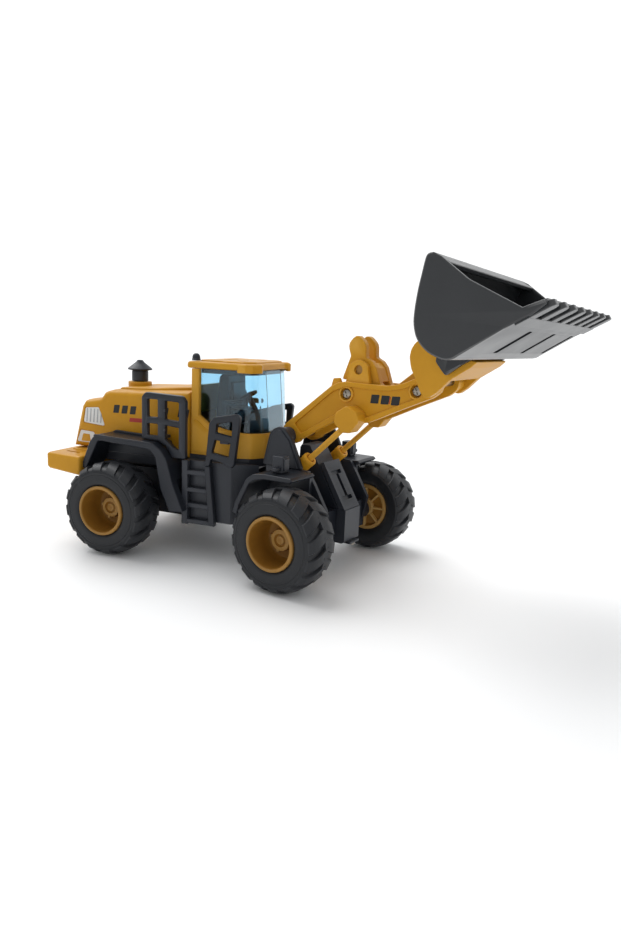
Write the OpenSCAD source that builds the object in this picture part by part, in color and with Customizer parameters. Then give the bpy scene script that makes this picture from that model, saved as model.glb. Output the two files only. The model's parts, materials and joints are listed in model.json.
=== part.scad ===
// Toy wheel loader with an articulated frame, a lift boom and a tilting bucket.
// Millimetres. The front axle crosses x = 0 before the final shift, +X is forward, +Z is up.

/* [Wheels] */
// distance between the front and rear axle
wheelbase = 66; // [50:1:90]
// outer radius over the tyre lugs
tyre_r = 14.2; // [10:0.1:20]
// radius of the tread between the lugs
tread_r = 13.3; // [9:0.1:19]
// distance from the middle to the inner sidewall
tyre_in = 19.7; // [15:0.1:25]
// distance from the middle to the outer sidewall
tyre_out = 32.4; // [26:0.1:40]
// outer radius of the rim
rim_r = 7.58; // [5:0.01:9]
// radius of the steel axles
axle_r = 1; // [0.6:0.05:2]
// lugs around each half of the tread
lug_count = 16; // [10:1:20]
// width of one lug
lug_w = 3.4; // [2:0.1:4]

/* [Frames] */
// angle of the front frame about the centre hinge at rest
steer_rest = -12.45; // [-20:0.05:20]
// distance of the centre hinge behind the front axle
hinge_back = 33; // [25:0.5:40]
// radius of the centre hinge pin
hinge_r = 1.7; // [1:0.05:3]
// half width of the deck that carries the hood and the cab
deck_half = 15.4; // [14:0.1:15.4]
// distance from the middle to the outer edge of the fenders
fender_out = 24.5; // [23.5:0.1:28]

/* [Body] */
// half width of the engine hood
hood_half = 15.6; // [14.8:0.1:15.6]
// half width of the counterweight
weight_half = 26; // [20:0.1:32]
// half width of the cab body
cab_half = 15.4; // [15:0.1:15.6]
// wall thickness of the moulded shells
wall = 1.3; // [0.8:0.1:2]

/* [Boom] */
// outer face of each boom half from the middle
boom_out = 7; // [6.6:0.1:7]
// inner face of each boom half from the middle
boom_in = 4.9; // [4.7:0.1:5.2]
// radius of the pin through the boom root
boom_pin_r = 1.3; // [0.8:0.05:2]
// middle line of each lift cylinder from the middle
ram_y = 9.3; // [9.2:0.05:9.4]
// outer radius of the lift barrels
barrel_r = 2.1; // [1.8:0.1:2.1]
// radius of the lift rods
rod_r = 0.85; // [0.5:0.05:1.2]

/* [Bucket] */
// half width of the bucket
bucket_half = 34.2; // [28:0.1:40]
// thickness of the bucket side plates
bucket_side = 1.6; // [1:0.1:3]
// number of teeth on the cutting edge
tooth_count = 8; // [5:1:12]

/* [Hidden] */
$fn = 48;
shift_x = 9.8;
shift_y = 10.9;
hinge_x = -hinge_back;
rear_x = -wheelbase;
hub_z = tyre_r;
pivot_x = -11.8;
pivot_z = 39.5;
rock_x = 9.4;
rock_z = 60;
link_bx = 17;
link_bz = 52.4;
link_cx = 31.2;
link_cz = 64.2;
tip_x = 32;
tip_z = 58;
eye_x = 8.4;
eye_z = 44.6;
ram_angle = 43.5;
ram_length = 23;
ram_x = eye_x - ram_length * cos(ram_angle);
ram_z = eye_z - ram_length * sin(ram_angle);
screw_points = [[6.3, 53.1], [27.4, 55.5]];

// Side profiles are drawn in x and z, then given a width from y0 to y1.
module slab(y0, y1) {
  translate([0, y1, 0])
  rotate([90, 0, 0])
  linear_extrude(height = y1 - y0)
  children();
}

module rod_y(x, z, r, y0, y1) {
  translate([x, y1, z])
  rotate([90, 0, 0])
  cylinder(h = y1 - y0, r = r);
}

module box(x0, x1, y0, y1, z0, z1) {
  translate([x0, y0, z0])
  cube([x1 - x0, y1 - y0, z1 - z0]);
}

module at_rear() {
  translate([shift_x, shift_y, 0])
  children();
}

module at_front() {
  translate([shift_x + hinge_x, shift_y, 0])
  rotate([0, 0, steer_rest])
  translate([-hinge_x, 0, 0])
  children();
}

module flip(side) {
  mirror([0, side > 0 ? 1 : 0, 0])
  children();
}

// ---------- wheels, drawn on the right side (negative y) ----------
module tyre_lugs() {
  for (k = [0 : lug_count - 1]) {
    rotate([0, k * 360 / lug_count, 0])
    translate([0, -22.8, 12])
    rotate([0, 0, 24])
    translate([-lug_w / 2, -4, 0])
    cube([lug_w, 7.8, 3]);
    rotate([0, (k + 0.5) * 360 / lug_count, 0])
    translate([0, -29.2, 12])
    rotate([0, 0, -24])
    translate([-lug_w / 2, -3.8, 0])
    cube([lug_w, 7.8, 3]);
  }
}

module tyre_shape() {
  rotate([90, 0, 0])
  rotate_extrude()
  polygon([[7.62, 21.4], [9.4, 20.1], [11.8, tyre_in], [12.6, 20.2], [tread_r, 21.6],
    [tread_r, 30.5], [12.75, 31.7], [12, 32.2], [10, 32.35], [8.4, tyre_out], [7.62, 31.9]]);
  intersection() {
    tyre_lugs();
    rotate([90, 0, 0])
    rotate_extrude()
    polygon([[11.6, 19.8], [12.4, 19.9], [13.2, 20.5], [13.9, 21.9], [tyre_r, 23.6], [tyre_r, 28.5],
      [13.9, 30.2], [13.3, 31.6], [12.6, 32.2], [11.6, 32.3]]);
  }
}

module rim_shape() {
  difference() {
    union() {
      rotate([90, 0, 0])
      rotate_extrude()
      polygon([[1.5, 22.2], [6.2, 22.2], [6.5, 21], [rim_r, 21], [rim_r, 32.2], [7.3, 32.7],
        [6.7, 32.7], [6.5, 32.2], [6.1, 24.6], [3.4, 23.8], [1.5, 23.8]]);
      rod_y(0, 0, 3, -27.4, -21);
      for (k = [0 : 7]) {
        rotate([0, k * 45, 0])
        translate([-0.35, -22.6, 2.6])
        cube([0.7, 1.4, 4.2]);
      }
      for (k = [0 : 5]) {
        rotate([0, k * 60, 0])
        rod_y(4.4, 0, 0.45, -25, -23.4);
      }
    }
    rod_y(0, 0, axle_r, -26.2, -20);
  }
}

module wheel_at(x, side) {
  flip(side)
  translate([x, 0, hub_z])
  children();
}

module rear_axle() {
  color("silver")
  at_rear()
  rod_y(rear_x, hub_z, axle_r, -26.1, 26.1);
}

module front_axle() {
  color("silver")
  at_front()
  rod_y(0, hub_z, axle_r, -26.1, 26.1);
}

module rear_rim(side) {
  color("orange")
  at_rear()
  wheel_at(rear_x, side)
  rim_shape();
}

module front_rim(side) {
  color("orange")
  at_front()
  wheel_at(0, side)
  rim_shape();
}

module rear_tyre(side) {
  color("dimgray")
  at_rear()
  wheel_at(rear_x, side)
  tyre_shape();
}

module front_tyre(side) {
  color("dimgray")
  at_front()
  wheel_at(0, side)
  tyre_shape();
}

// ---------- rear frame ----------
module deck_plan() {
  polygon([[-45, -15.7], [-29, -15.7], [-25.4, -14.4], [-22.4, -10.6], [-21, -6], [-21, 6],
    [-22.4, 10.6], [-25.4, 14.4], [-29, 15.7], [-45, 15.7]]);
}

module rear_chassis() {
  color("dimgray")
  at_rear()
  difference() {
    union() {
      box(-84, -38.5, -9.5, 9.5, 9.6, 24);
      box(-82, -42, -8, 8, 24, 26.6);
      box(-86, -27, -deck_half, deck_half, 26.5, 29.1);
      translate([0, 0, 29])
      linear_extrude(height = 2.3)
      deck_plan();
      rod_y(rear_x, hub_z, 3, -18.6, 18.6);
      for (z = [10, 21]) {
        translate([hinge_x, 0, z])
        cylinder(h = 3.2, r = 4.6);
        box(-40, hinge_x, -4.6, 4.6, z, z + 3.2);
      }
      box(-86, -78, -8, 8, 18, 26.6);
      for (s = [-1, 1]) {
        box(-43, -30, s * 12.6 - 3.1, s * 12.6 + 3.1, 20, 26.6);
      }
    }
    rod_y(rear_x, hub_z, axle_r + 0.08, -20, 20);
    translate([hinge_x, 0, 9])
    cylinder(h = 16, r = hinge_r);
    box(-76, -56, -6.5, 6.5, 9, 10.8);
  }
}

module rear_belly_plate() {
  color("dimgray")
  at_rear()
  difference() {
    union() {
      box(-75.8, -56.2, -6.3, 6.3, 8.8, 10.6);
      box(-78, -54, -3, 3, 8.8, 9.5);
    }
    for (x = [-76.6, -55.4]) {
      translate([x, 0, 8])
      cylinder(h = 2, r = 0.6);
      translate([x, 0, 8])
      cylinder(h = 1.3, r = 1.16);
    }
  }
}

module rear_screws() {
  color("silver")
  at_rear()
  for (x = [-76.6, -55.4]) {
    translate([x, 0, 8.84])
    cylinder(h = 0.44, r = 1.1);
    translate([x, 0, 9.2])
    cylinder(h = 0.36, r = 0.58);
  }
}

module counterweight() {
  color("orange")
  at_rear()
  difference() {
    union() {
      slab(-24.8, 24.8)
      polygon([[-91.2, 24.4], [-90.4, 23.6], [-79.2, 22.4], [-78.2, 28.6], [-90.6, 28.9], [-91.2, 28.3]]);
      slab(-weight_half, weight_half)
      polygon([[-89.9, 24.6], [-89.4, 24.1], [-79.6, 23.1], [-79, 27.9], [-89.4, 28.3], [-89.9, 27.9]]);
      box(-88, -79, -15.4, 15.4, 28, 29.3);
    }
    box(-86.2, -70, -deck_half - 0.1, deck_half + 0.1, 20, 29.15);
    for (s = [-1, 1]) {
      box(-88, -82.8, s * 20 - 0.5, s * 20 + 0.5, 27.6, 30);
      slab(s > 0 ? 15.6 : -27, s > 0 ? 27 : -15.6)
      polygon([[-79.4, 22], [-79.4, 25.1], [-77.8, 28.9], [-77, 28.9], [-77, 22]]);
    }
  }
}

module engine_hood() {
  color("orange")
  at_rear()
  difference() {
    union() {
      slab(-hood_half, hood_half)
      polygon([[-89.7, 29.35], [-86, 43.4], [-85.3, 44.8], [-83.7, 45.5], [-78.1, 46.1], [-77.3, 47.4],
        [-76.1, 48.1], [-60.9, 48.4], [-45.2, 49.4], [-45.2, 31.7], [-46.3, 29.35]]);
      slab(-14.2, 14.2)
      polygon([[-85, 44.8], [-83, 46.4], [-78, 47], [-77, 48.4], [-75.7, 49.2], [-61, 49.7],
        [-45.2, 51], [-45.2, 40], [-81, 40]]);
      slab(-10.8, 10.8)
      polygon([[-75.2, 48.8], [-74, 49.9], [-61, 50.4], [-45.2, 52], [-45.2, 45], [-75, 45]]);
      translate([-73.6, 0, 49])
      cylinder(h = 2.1, r = 3.9);
    }
    slab(-hood_half + wall, hood_half - wall)
    polygon([[-87.8, 29], [-84.5, 42.7], [-83, 44], [-77, 44.7], [-75.5, 46.2], [-46.9, 47.4], [-46.9, 29]]);
    translate([-73.6, 0, 44])
    cylinder(h = 8, r = 1.6);
    for (s = [-1, 1]) {
      slab(s > 0 ? hood_half - 0.35 : -hood_half - 1, s > 0 ? hood_half + 1 : -hood_half + 0.35)
      polygon([[-85, 38], [-84, 42.8], [-78.9, 43.2], [-76.3, 37.2]]);
    }
  }
}

module exhaust_stack() {
  color("dimgray")
  at_rear()
  translate([-73.6, 0, 0]) {
    translate([0, 0, 46.8])
    cylinder(h = 5, r = 1.55);
    translate([0, 0, 51.35])
    cylinder(h = 3.8, r = 2.7);
    translate([0, 0, 54.9])
    cylinder(h = 0.4, r = 4.05);
    translate([0, 0, 55.3])
    cylinder(h = 2.6, r1 = 4.05, r2 = 0.9);
    translate([0, 0, 57.8])
    cylinder(h = 0.5, r = 0.9);
  }
}

module rear_fender_shape() {
  difference() {
    union() {
      slab(-fender_out, -15.75)
      polygon([[-79.2, 25], [-75.6, 33.5], [-74, 35.3], [-72.3, 36.1], [-52.6, 35.1], [-50.2, 33.9],
        [-48, 30.4], [-45.9, 23.3], [-42.3, 15], [-47, 14.6], [-50.2, 21.3], [-52, 30.8], [-53.7, 32.9],
        [-71.9, 34.1], [-73.4, 32.9], [-77.2, 24.5]]);
      slab(-16.9, -15.75)
      polygon([[-76.6, 29.3], [-73, 33.9], [-72.6, 36.1], [-71.5, 36.6], [-55.5, 35.9], [-51.5, 34.9],
        [-49.5, 29.3]]);
    }
    slab(-fender_out - 1, -fender_out + 1)
    polygon([[-50, 22], [-48.4, 29], [-47.2, 26], [-47, 22.4], [-45.2, 17], [-46.6, 16.8]]);
    box(-46.6, -40, -21.8, -15, 10, 24);
  }
}

module rear_fender(side) {
  color("dimgray")
  at_rear()
  flip(side)
  rear_fender_shape();
}

// two by two window frame behind the ladder
module side_rail_shape() {
  difference() {
    slab(-21.6, -19.8)
    polygon([[-58.5, 35.45], [-58.5, 48.5], [-57.4, 49.9], [-44.5, 49.5], [-43.3, 48.3], [-43.3, 30.6],
      [-47.8, 30.6], [-50.1, 34], [-52.6, 35.15]]);
    slab(-22, -19)
    polygon([[-56.5, 42.5], [-56.5, 47.9], [-52.9, 47.9], [-52.9, 42.5]]);
    slab(-22, -19)
    polygon([[-50.3, 42.2], [-50.3, 47.7], [-45.6, 47.5], [-45.6, 41.8]]);
    slab(-22, -19)
    polygon([[-56.5, 36.9], [-56.5, 40.5], [-52.9, 40.5], [-52.9, 36.9]]);
    slab(-22, -19)
    polygon([[-50.3, 36.2], [-50.3, 40.3], [-45.6, 39.9], [-45.6, 33], [-47.4, 33.8]]);
  }
  slab(-19.9, -16.95)
  polygon([[-53.6, 35.95], [-53.6, 37], [-51, 37], [-51, 35.95]]);
}

module side_rail(side) {
  color("dimgray")
  at_rear()
  flip(side)
  side_rail_shape();
}

module ladder_shape() {
  slab(-21.6, -19.8)
  polygon([[-44.5, 10.6], [-44.5, 30.3], [-42.4, 30.3], [-42.4, 10.6]]);
  slab(-21.6, -19.8)
  polygon([[-33.1, 11], [-35, 29.3], [-36.9, 29.3], [-35.2, 11]]);
  for (z = [11, 16, 20.8, 26.1]) {
    box(-42.5, -34.8 - (z - 11) * 0.1, -21.6, -19.35, z, z + 1.4);
  }
}

module ladder(side) {
  color("dimgray")
  at_rear()
  flip(side)
  ladder_shape();
}

// window frame in front of the ladder
module hand_rail_shape() {
  difference() {
    slab(-21.6, -19.8)
    polygon([[-37, 29.4], [-36.3, 32], [-35.4, 42.2], [-34, 44.1], [-26.6, 45.6], [-25.4, 44.7],
      [-27, 30.6], [-28, 29.5], [-30.8, 30.8], [-34.6, 31.6], [-35.2, 29.4]]);
    slab(-22, -19)
    polygon([[-33.2, 39.6], [-32.9, 42.2], [-27.9, 43.2], [-28, 38.8]]);
    slab(-22, -19)
    polygon([[-34.4, 33.6], [-33.4, 37.5], [-28.4, 36.8], [-28.9, 32.7]]);
  }
  box(-32.6, -29.6, -19.9, -15.45, 36.2, 37.2);
}

module hand_rail(side) {
  color("dimgray")
  at_rear()
  flip(side)
  hand_rail_shape();
}

module side_tank_shape() {
  difference() {
    translate([0, 0, 11.8])
    linear_extrude(height = 18.4)
    polygon([[-44.4, -15.75], [-44.4, -19.3], [-29, -19.3], [-21.6, -15.75]]);
    for (k = [0 : 5]) {
      translate([-27.9 + k, -19.4 + k * 0.48, 15])
      rotate([0, 0, 25.6])
      cube([0.45, 0.7, 11]);
    }
  }
}

module side_tank(side) {
  color("dimgray")
  at_rear()
  flip(side)
  side_tank_shape();
}

// ---------- cab ----------
module cab_plan() {
  polygon([[-45, -cab_half], [-29, -cab_half], [-25.2, -14.1], [-22.2, -10.3], [-20.8, -6],
    [-20.8, 6], [-22.2, 10.3], [-25.2, 14.1], [-29, cab_half], [-45, cab_half]]);
}

module cab_plan_inner() {
  polygon([[-43.8, -14.2], [-29.3, -14.2], [-26.1, -13], [-23.4, -9.6], [-22.4, -5.7],
    [-22.4, 5.7], [-23.4, 9.6], [-26.1, 13], [-29.3, 14.2], [-43.8, 14.2]]);
}

module cab_body() {
  color("orange")
  at_rear()
  difference() {
    union() {
      intersection() {
        translate([0, 0, 31.35])
        linear_extrude(height = 13)
        cab_plan();
        slab(-20, 20)
        polygon([[-45, 31], [-45, 44], [-42.4, 43.6], [-38.7, 40.9], [-33, 39.6], [-27.6, 39], [-20.9, 38.8],
          [-22.6, 31]]);
      }
      for (s = [-1, 1]) {
        box(-45, -42.4, s > 0 ? 13.3 : -cab_half, s > 0 ? cab_half : -13.3, 42, 57.5);
      }
    }
    translate([0, 0, 33.4])
    linear_extrude(height = 11)
    cab_plan_inner();
    box(-43.8, -40, -14.2, 14.2, 42, 58);
    box(-46, -42, -11.6, 11.6, 52.4, 60);
  }
}

// glass shell whose front leans back towards the roof
module glass_hull(e) {
  hull() {
    translate([0, 0, 33.5 - e])
    linear_extrude(height = 0.1)
    polygon([[-43.7 + e, -14.1 + e], [-29.4, -14.1 + e], [-26.2 - e * 0.6, -12.9 + e * 0.8],
      [-23.5 - e, -9.5 + e * 0.4], [-22.5 - e, -5.6], [-22.5 - e, 5.6], [-23.5 - e, 9.5 - e * 0.4],
      [-26.2 - e * 0.6, 12.9 - e * 0.8], [-29.4, 14.1 - e], [-43.7 + e, 14.1 - e]]);
    translate([0, 0, 57.4 + e])
    linear_extrude(height = 0.1)
    polygon([[-43.7 + e, -14.1 + e], [-29.4, -14.1 + e], [-27 - e * 0.6, -13.2 + e * 0.8],
      [-25 - e, -10 + e * 0.4], [-24.6 - e, -5.6], [-24.6 - e, 5.6], [-25 - e, 10 - e * 0.4],
      [-27 - e * 0.6, 13.2 - e * 0.8], [-29.4, 14.1 - e], [-43.7 + e, 14.1 - e]]);
  }
}

module cab_windows() {
  color("lightblue", 0.4)
  at_rear()
  difference() {
    glass_hull(0);
    glass_hull(0.7);
  }
}

module roof_plan(e) {
  polygon([[-46.7 + e, -15.4 + e], [-27, -15.4 + e], [-25 - e * 0.6, -14.6 + e], [-23.4 - e, -11.4 + e * 0.5],
    [-23.4 - e, 11.4 - e * 0.5], [-25 - e * 0.6, 14.6 - e], [-27, 15.4 - e], [-46.7 + e, 15.4 - e]]);
}

module cab_roof() {
  color("orange")
  at_rear() {
    translate([0, 0, 57.6])
    linear_extrude(height = 1.5)
    roof_plan(0);
    translate([0, 0, 59.1])
    linear_extrude(height = 0.7)
    roof_plan(0.7);
    translate([0, 0, 59.8])
    linear_extrude(height = 0.5)
    roof_plan(3.2);
  }
}

module roof_beacon() {
  color("dimgray")
  at_rear()
  translate([-44.7, -12.9, 0]) {
    translate([0, 0, 59.82])
    cylinder(h = 0.5, r = 1.35);
    translate([0, 0, 60.3])
    cylinder(h = 1.7, r1 = 1.2, r2 = 0.5);
  }
}

module driver_seat() {
  color("dimgray")
  at_rear() {
    slab(-6.2, 6.2)
    polygon([[-41.2, 33.5], [-41.4, 45], [-40, 55.4], [-38.4, 56.6], [-36.8, 55.6], [-36.2, 45.6],
      [-32.2, 45], [-31.2, 43.6], [-31.6, 41], [-34, 40.2], [-34, 33.5]]);
    for (s = [-1, 1]) {
      box(-38.5, -31.5, s > 0 ? 6.2 : -8.4, s > 0 ? 8.4 : -6.2, 46, 47.8);
      box(-38.5, -36.5, s > 0 ? 6.2 : -8.4, s > 0 ? 8.4 : -6.2, 40, 46.2);
    }
  }
}

module dash_console() {
  color("dimgray")
  at_rear()
  difference() {
    slab(-8.6, 8.6)
    polygon([[-29.6, 33.5], [-29.2, 41], [-28, 45.2], [-25.6, 46], [-24.9, 44], [-24.4, 33.5]]);
    translate([-29.2, 0, 42.6])
    rotate([0, -30, 0])
    cylinder(h = 12, r = 0.82, center = true);
  }
}

module steering_wheel() {
  color("dimgray")
  at_rear()
  translate([-29.2, 0, 42.6])
  rotate([0, -30, 0]) {
    translate([0, 0, 0.6])
    cylinder(h = 6.6, r = 0.75);
    translate([0, 0, 7.2])
    cylinder(h = 0.9, r = 1.2);
    translate([0, 0, 7.6])
    rotate_extrude()
    translate([2.6, 0])
    circle(r = 0.45, $fn = 24);
    for (a = [90, 210, 330]) {
      rotate([0, 0, a])
      translate([0.8, -0.4, 7.3])
      cube([1.6, 0.8, 0.6]);
    }
  }
}

module hinge_pin() {
  color("silver")
  at_rear()
  translate([hinge_x, 0, 0]) {
    translate([0, 0, 9.2])
    cylinder(h = 0.8, r = 2.4);
    translate([0, 0, 9.9])
    cylinder(h = 14.3, r = hinge_r - 0.02);
  }
}

// ---------- front frame ----------
module front_chassis() {
  color("dimgray")
  at_front()
  difference() {
    union() {
      translate([hinge_x, 0, 13.5])
      cylinder(h = 7.2, r = 4.3);
      box(hinge_x, -10.4, -3.6, 3.6, 13.5, 20.7);
      box(-10.8, 3.8, -12.9, 12.9, 10.6, 19);
      box(-10.8, 7, -4.4, 4.4, 9.4, 19);
      slab(-4.4, 4.4)
      polygon([[-10.6, 18], [-9.6, 36], [-9, 36.8], [-6.2, 36.8], [-3.1, 31.6], [4.4, 19]]);
      slab(-12, 12)
      polygon([[-12.9, 17], [-15.7, 27.6], [-15.8, 30.6], [-14.6, 30.6], [-14.4, 27.6], [-11.6, 17]]);
      for (s = [-1, 1]) {
        slab(s > 0 ? 11.6 : -12.9, s > 0 ? 12.9 : -11.6)
        polygon([[-11.5, 10.4], [-15.7, 27.6], [-15.9, 30.8], [-1.2, 30.8], [-0.7, 30], [1.3, 27],
          [5.4, 20.1], [3.4, 10.4]]);
      }
      rod_y(0, hub_z, 3, -18.6, 18.6);
    }
    rod_y(0, hub_z, axle_r + 0.08, -20, 20);
    translate([hinge_x, 0, 13])
    cylinder(h = 9, r = hinge_r + 0.06);
    box(-6.2, 6.2, -4.2, 4.2, 9, 10.7);
    for (s = [-1, 1]) {
      rod_y(ram_x, ram_z, 1.12, s > 0 ? 11 : -14, s > 0 ? 14 : -11);
    }
  }
}

module front_belly_plate() {
  color("dimgray")
  at_front()
  difference() {
    union() {
      box(-6, 6, -4, 4, 8.8, 10.6);
      box(-9.6, 8.2, -2.6, 2.6, 8.7, 9.3);
    }
    for (x = [-8, 7]) {
      translate([x, 0, 8])
      cylinder(h = 2, r = 0.6);
    }
  }
}

module front_screws() {
  color("silver")
  at_front()
  for (x = [-8, 7]) {
    translate([x, 0, 8.1])
    cylinder(h = 0.58, r = 1.1);
    translate([x, 0, 8.3])
    cylinder(h = 0.95, r = 0.58);
  }
}

module tower_shield() {
  color("dimgray")
  at_front()
  difference() {
    slab(-4.4, 4.4)
    polygon([[-2.4, 31.9], [-1.2, 32.3], [6.7, 19.1], [4.6, 19.1]]);
    translate([2.6, 0, 25.6])
    rotate([0, 59.4, 0])
    translate([0, 0, 0.15]) {
      translate([-4.6, -2.6, -0.7])
      cube([1.2, 5.2, 2]);
      translate([-3.6, -0.7, -0.7])
      cube([7.4, 1.4, 2]);
      translate([3.6, -2.6, -0.7])
      cube([1.2, 5.2, 2]);
    }
  }
}

module tower_cowl_shape() {
  difference() {
    union() {
      slab(-12.9, -11.6)
      polygon([[-17.2, 30.85], [-15.9, 36.7], [-15.1, 40], [-13.9, 41.6], [-12, 42.5], [-10.2, 42.5],
        [-7.1, 39.2], [-4.8, 34.3], [-3.4, 30.85]]);
      slab(-13.3, -12.8)
      polygon([[-16.3, 30.85], [-15.1, 36.5], [-14.3, 39.5], [-13.4, 40.9], [-12, 41.7], [-10.6, 41.6],
        [-7.8, 38.7], [-5.7, 34.1], [-4.4, 30.85]]);
      rod_y(pivot_x, pivot_z, 2.5, -11.7, -7.3);
      slab(-11.7, -8)
      polygon([[-17.2, 30.85], [-15.9, 36.7], [-15.5, 38], [-16.1, 38], [-16.5, 36.7], [-17.8, 30.85]]);
    }
    rod_y(pivot_x, pivot_z, boom_pin_r + 0.02, -12.6, -7);
  }
}

module tower_cowl(side) {
  color("dimgray")
  at_front()
  flip(side)
  tower_cowl_shape();
}

module front_fender_shape() {
  difference() {
    slab(-fender_out, -12.95)
    polygon([[-19, 18.1], [-18.2, 21.2], [-14.3, 28.7], [-11.9, 30.3], [-8.4, 30.7], [0.6, 30.7],
      [1.4, 30.1], [0.6, 29.3], [-8, 29.3], [-11.3, 28.7], [-13.1, 27.5], [-16.6, 20.6], [-17.4, 17.7]]);
    box(-20, -15, -16.2, -12, 17, 27);
  }
  slab(-14.2, -12.95)
  polygon([[-12, 27.6], [-9, 29.4], [0.4, 29.9], [0.4, 24], [-11, 23]]);
}

module front_fender(side) {
  color("dimgray")
  at_front()
  flip(side)
  front_fender_shape();
}

module headlamp_shape() {
  box(-8, -4.4, -21, -17.6, 30.75, 35.6);
  box(-4.5, -4, -20.5, -18.1, 31.6, 35);
  box(-6.6, -5, -23.2, -20.9, 31.6, 32.6);
}

module headlamp(side) {
  color("dimgray")
  at_front()
  flip(side)
  headlamp_shape();
}

module boom_pin() {
  color("silver")
  at_front()
  rod_y(pivot_x, pivot_z, boom_pin_r, -12.5, 12.5);
}

// ---------- boom ----------
module boom_profile() {
  polygon([[-14.1, 42], [-13.3, 43], [1.5, 55], [3.8, 56.2], [6.3, 56.6], [12.6, 56.4],
    [18.6, 56.3], [23, 57.1], [26.9, 58.8], [29.6, 60.3], [31.6, 61.2], [33.2, 60.8],
    [34.8, 58.1], [34, 55.7], [32, 54.1], [30.2, 53.3], [23.5, 50.3], [13.9, 45.8],
    [12.1, 45.5], [5.2, 46.5], [-1.2, 42.7], [-8.3, 38.5], [-8.9, 37.7], [-11.5, 36.6],
    [-13.5, 37.2], [-14.5, 38.8]]);
}

module boom_web_profile() {
  polygon([[-10.3, 43.2], [2, 53.5], [6.3, 55.2], [12.6, 55], [18.8, 54.9], [23.5, 55.8],
    [28.2, 57.8], [30.2, 54.8], [22.9, 51.6], [13.7, 47.4], [12.3, 47.2], [4.8, 48.1],
    [-1.9, 44.1], [-8.1, 40.4]]);
}

// Right half; the left half is its mirror image with the screw posts.
module boom_half_shape() {
  difference() {
    union() {
      slab(-boom_out, -boom_in)
      boom_profile();
      slab(-5.9, -4.5) {
        polygon([[5.2, 54.6], [6.4, 60.4], [12.4, 60.4], [13.6, 54.6]]);
        translate([rock_x, rock_z])
        circle(r = 3.1);
      }
      slab(-11.2, -boom_out + 0.1)
      polygon([[5.4, 45.3], [5.8, 48.2], [9.2, 50.4], [12.5, 48.7], [13.1, 46.2], [10.5, 42.9], [8, 42.8]]);
    }
    slab(-boom_out - 1, -boom_out + 0.7)
    difference() {
      boom_web_profile();
      polygon([[4, 42], [4.2, 48.4], [9.2, 51.4], [13.5, 49], [14.1, 44], [11, 40]]);
    }
    rod_y(pivot_x, pivot_z, boom_pin_r + 0.06, -9, -4);
    rod_y(rock_x, rock_z, 1.32, -7, -4);
    rod_y(tip_x, tip_z, 1.26, -9, -4);
    slab(-10.5, -8.1) {
      translate([eye_x, eye_z])
      circle(r = 2.3);
      polygon([[6.1, 45], [10.6, 44.2], [9.6, 40], [2, 40]]);
    }
    for (p = screw_points) {
      rod_y(p[0], p[1], 1.75, -9, -boom_out + 1.2);
    }
  }
}

module boom_right() {
  color("orange")
  at_front()
  difference() {
    boom_half_shape();
    for (p = screw_points) {
      rod_y(p[0], p[1], 0.72, -9, -4);
    }
  }
}

module boom_left() {
  color("orange")
  at_front()
  difference() {
    union() {
      mirror([0, 1, 0])
      boom_half_shape();
      for (p = screw_points) {
        rod_y(p[0], p[1], 1.5, -boom_in + 0.05, boom_in + 0.1);
      }
      rod_y(-1.4, 47.1, 1.6, -boom_in + 0.05, boom_in + 0.1);
    }
    for (p = screw_points) {
      rod_y(p[0], p[1], 0.72, -9, 4);
    }
  }
}

module boom_screws() {
  color("silver")
  at_front()
  for (p = screw_points) {
    rod_y(p[0], p[1], 1.4, -boom_out + 0.5, -boom_out + 1.18);
    rod_y(p[0], p[1], 0.7, -boom_out + 1.1, 3.6);
  }
}

module rocker() {
  color("orange")
  at_front()
  difference() {
    union() {
      slab(-4.2, 4.2) {
        translate([7.6, 66.8])
        circle(r = 2.8);
        polygon([[4.9, 66.2], [5.8, 63.6], [3.4, 57], [5.2, 56.9], [7, 56.4], [11, 56.4], [15.4, 56.6],
          [13.9, 60.8], [12.6, 62.4], [10.6, 63.4], [10.3, 67]]);
      }
      slab(-4.2, 4.2)
      polygon([[9, 57.6], [15.4, 57.6], [19, 53.2], [18.8, 51.4], [17, 50.5], [15, 51.2]]);
    }
    slab(-1.9, 1.9)
    polygon([[0, 61.9], [0, 72], [15, 72], [15, 61.9]]);
    rod_y(rock_x, rock_z, 1.36, -5, 5);
    slab(-1.9, 1.9)
    polygon([[14.6, 56.6], [11.6, 50], [20, 48], [24, 56], [16.6, 56.6]]);
    rod_y(link_bx, link_bz, 0.9, -5, 5);
  }
}

module rocker_pin() {
  color("silver")
  at_front()
  rod_y(rock_x, rock_z, 1.3, -5.4, 5.4);
}

module tilt_link() {
  color("orange")
  at_front()
  difference() {
    union() {
      slab(-1.6, 1.6) {
        translate([link_bx, link_bz])
        circle(r = 1.5);
        translate([link_cx, link_cz])
        circle(r = 2.1);
        polygon([[link_bx - 0.8, link_bz + 0.9], [link_bx + 0.8, link_bz - 0.9],
          [link_cx + 0.8, link_cz - 1], [link_cx - 0.8, link_cz + 1]]);
      }
      rod_y(link_bx, link_bz, 0.84, -3.9, 3.9);
    }
    rod_y(link_cx, link_cz, 1.52, -2, 2);
  }
}

// ---------- bucket group ----------
module coupler_profile() {
  polygon([[27.1, 64.4], [27.4, 66.4], [28.5, 68.2], [30.9, 69.6], [34.4, 70], [37, 69.6], [38.6, 67.4],
    [40.4, 65.8], [43, 64.6], [44.8, 64.1], [43.2, 62.6], [38.2, 59.3], [35, 56], [33.1, 54.6],
    [31.5, 54.7], [30.5, 56.1], [29.1, 59.1], [27.7, 61.6]]);
}

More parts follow.
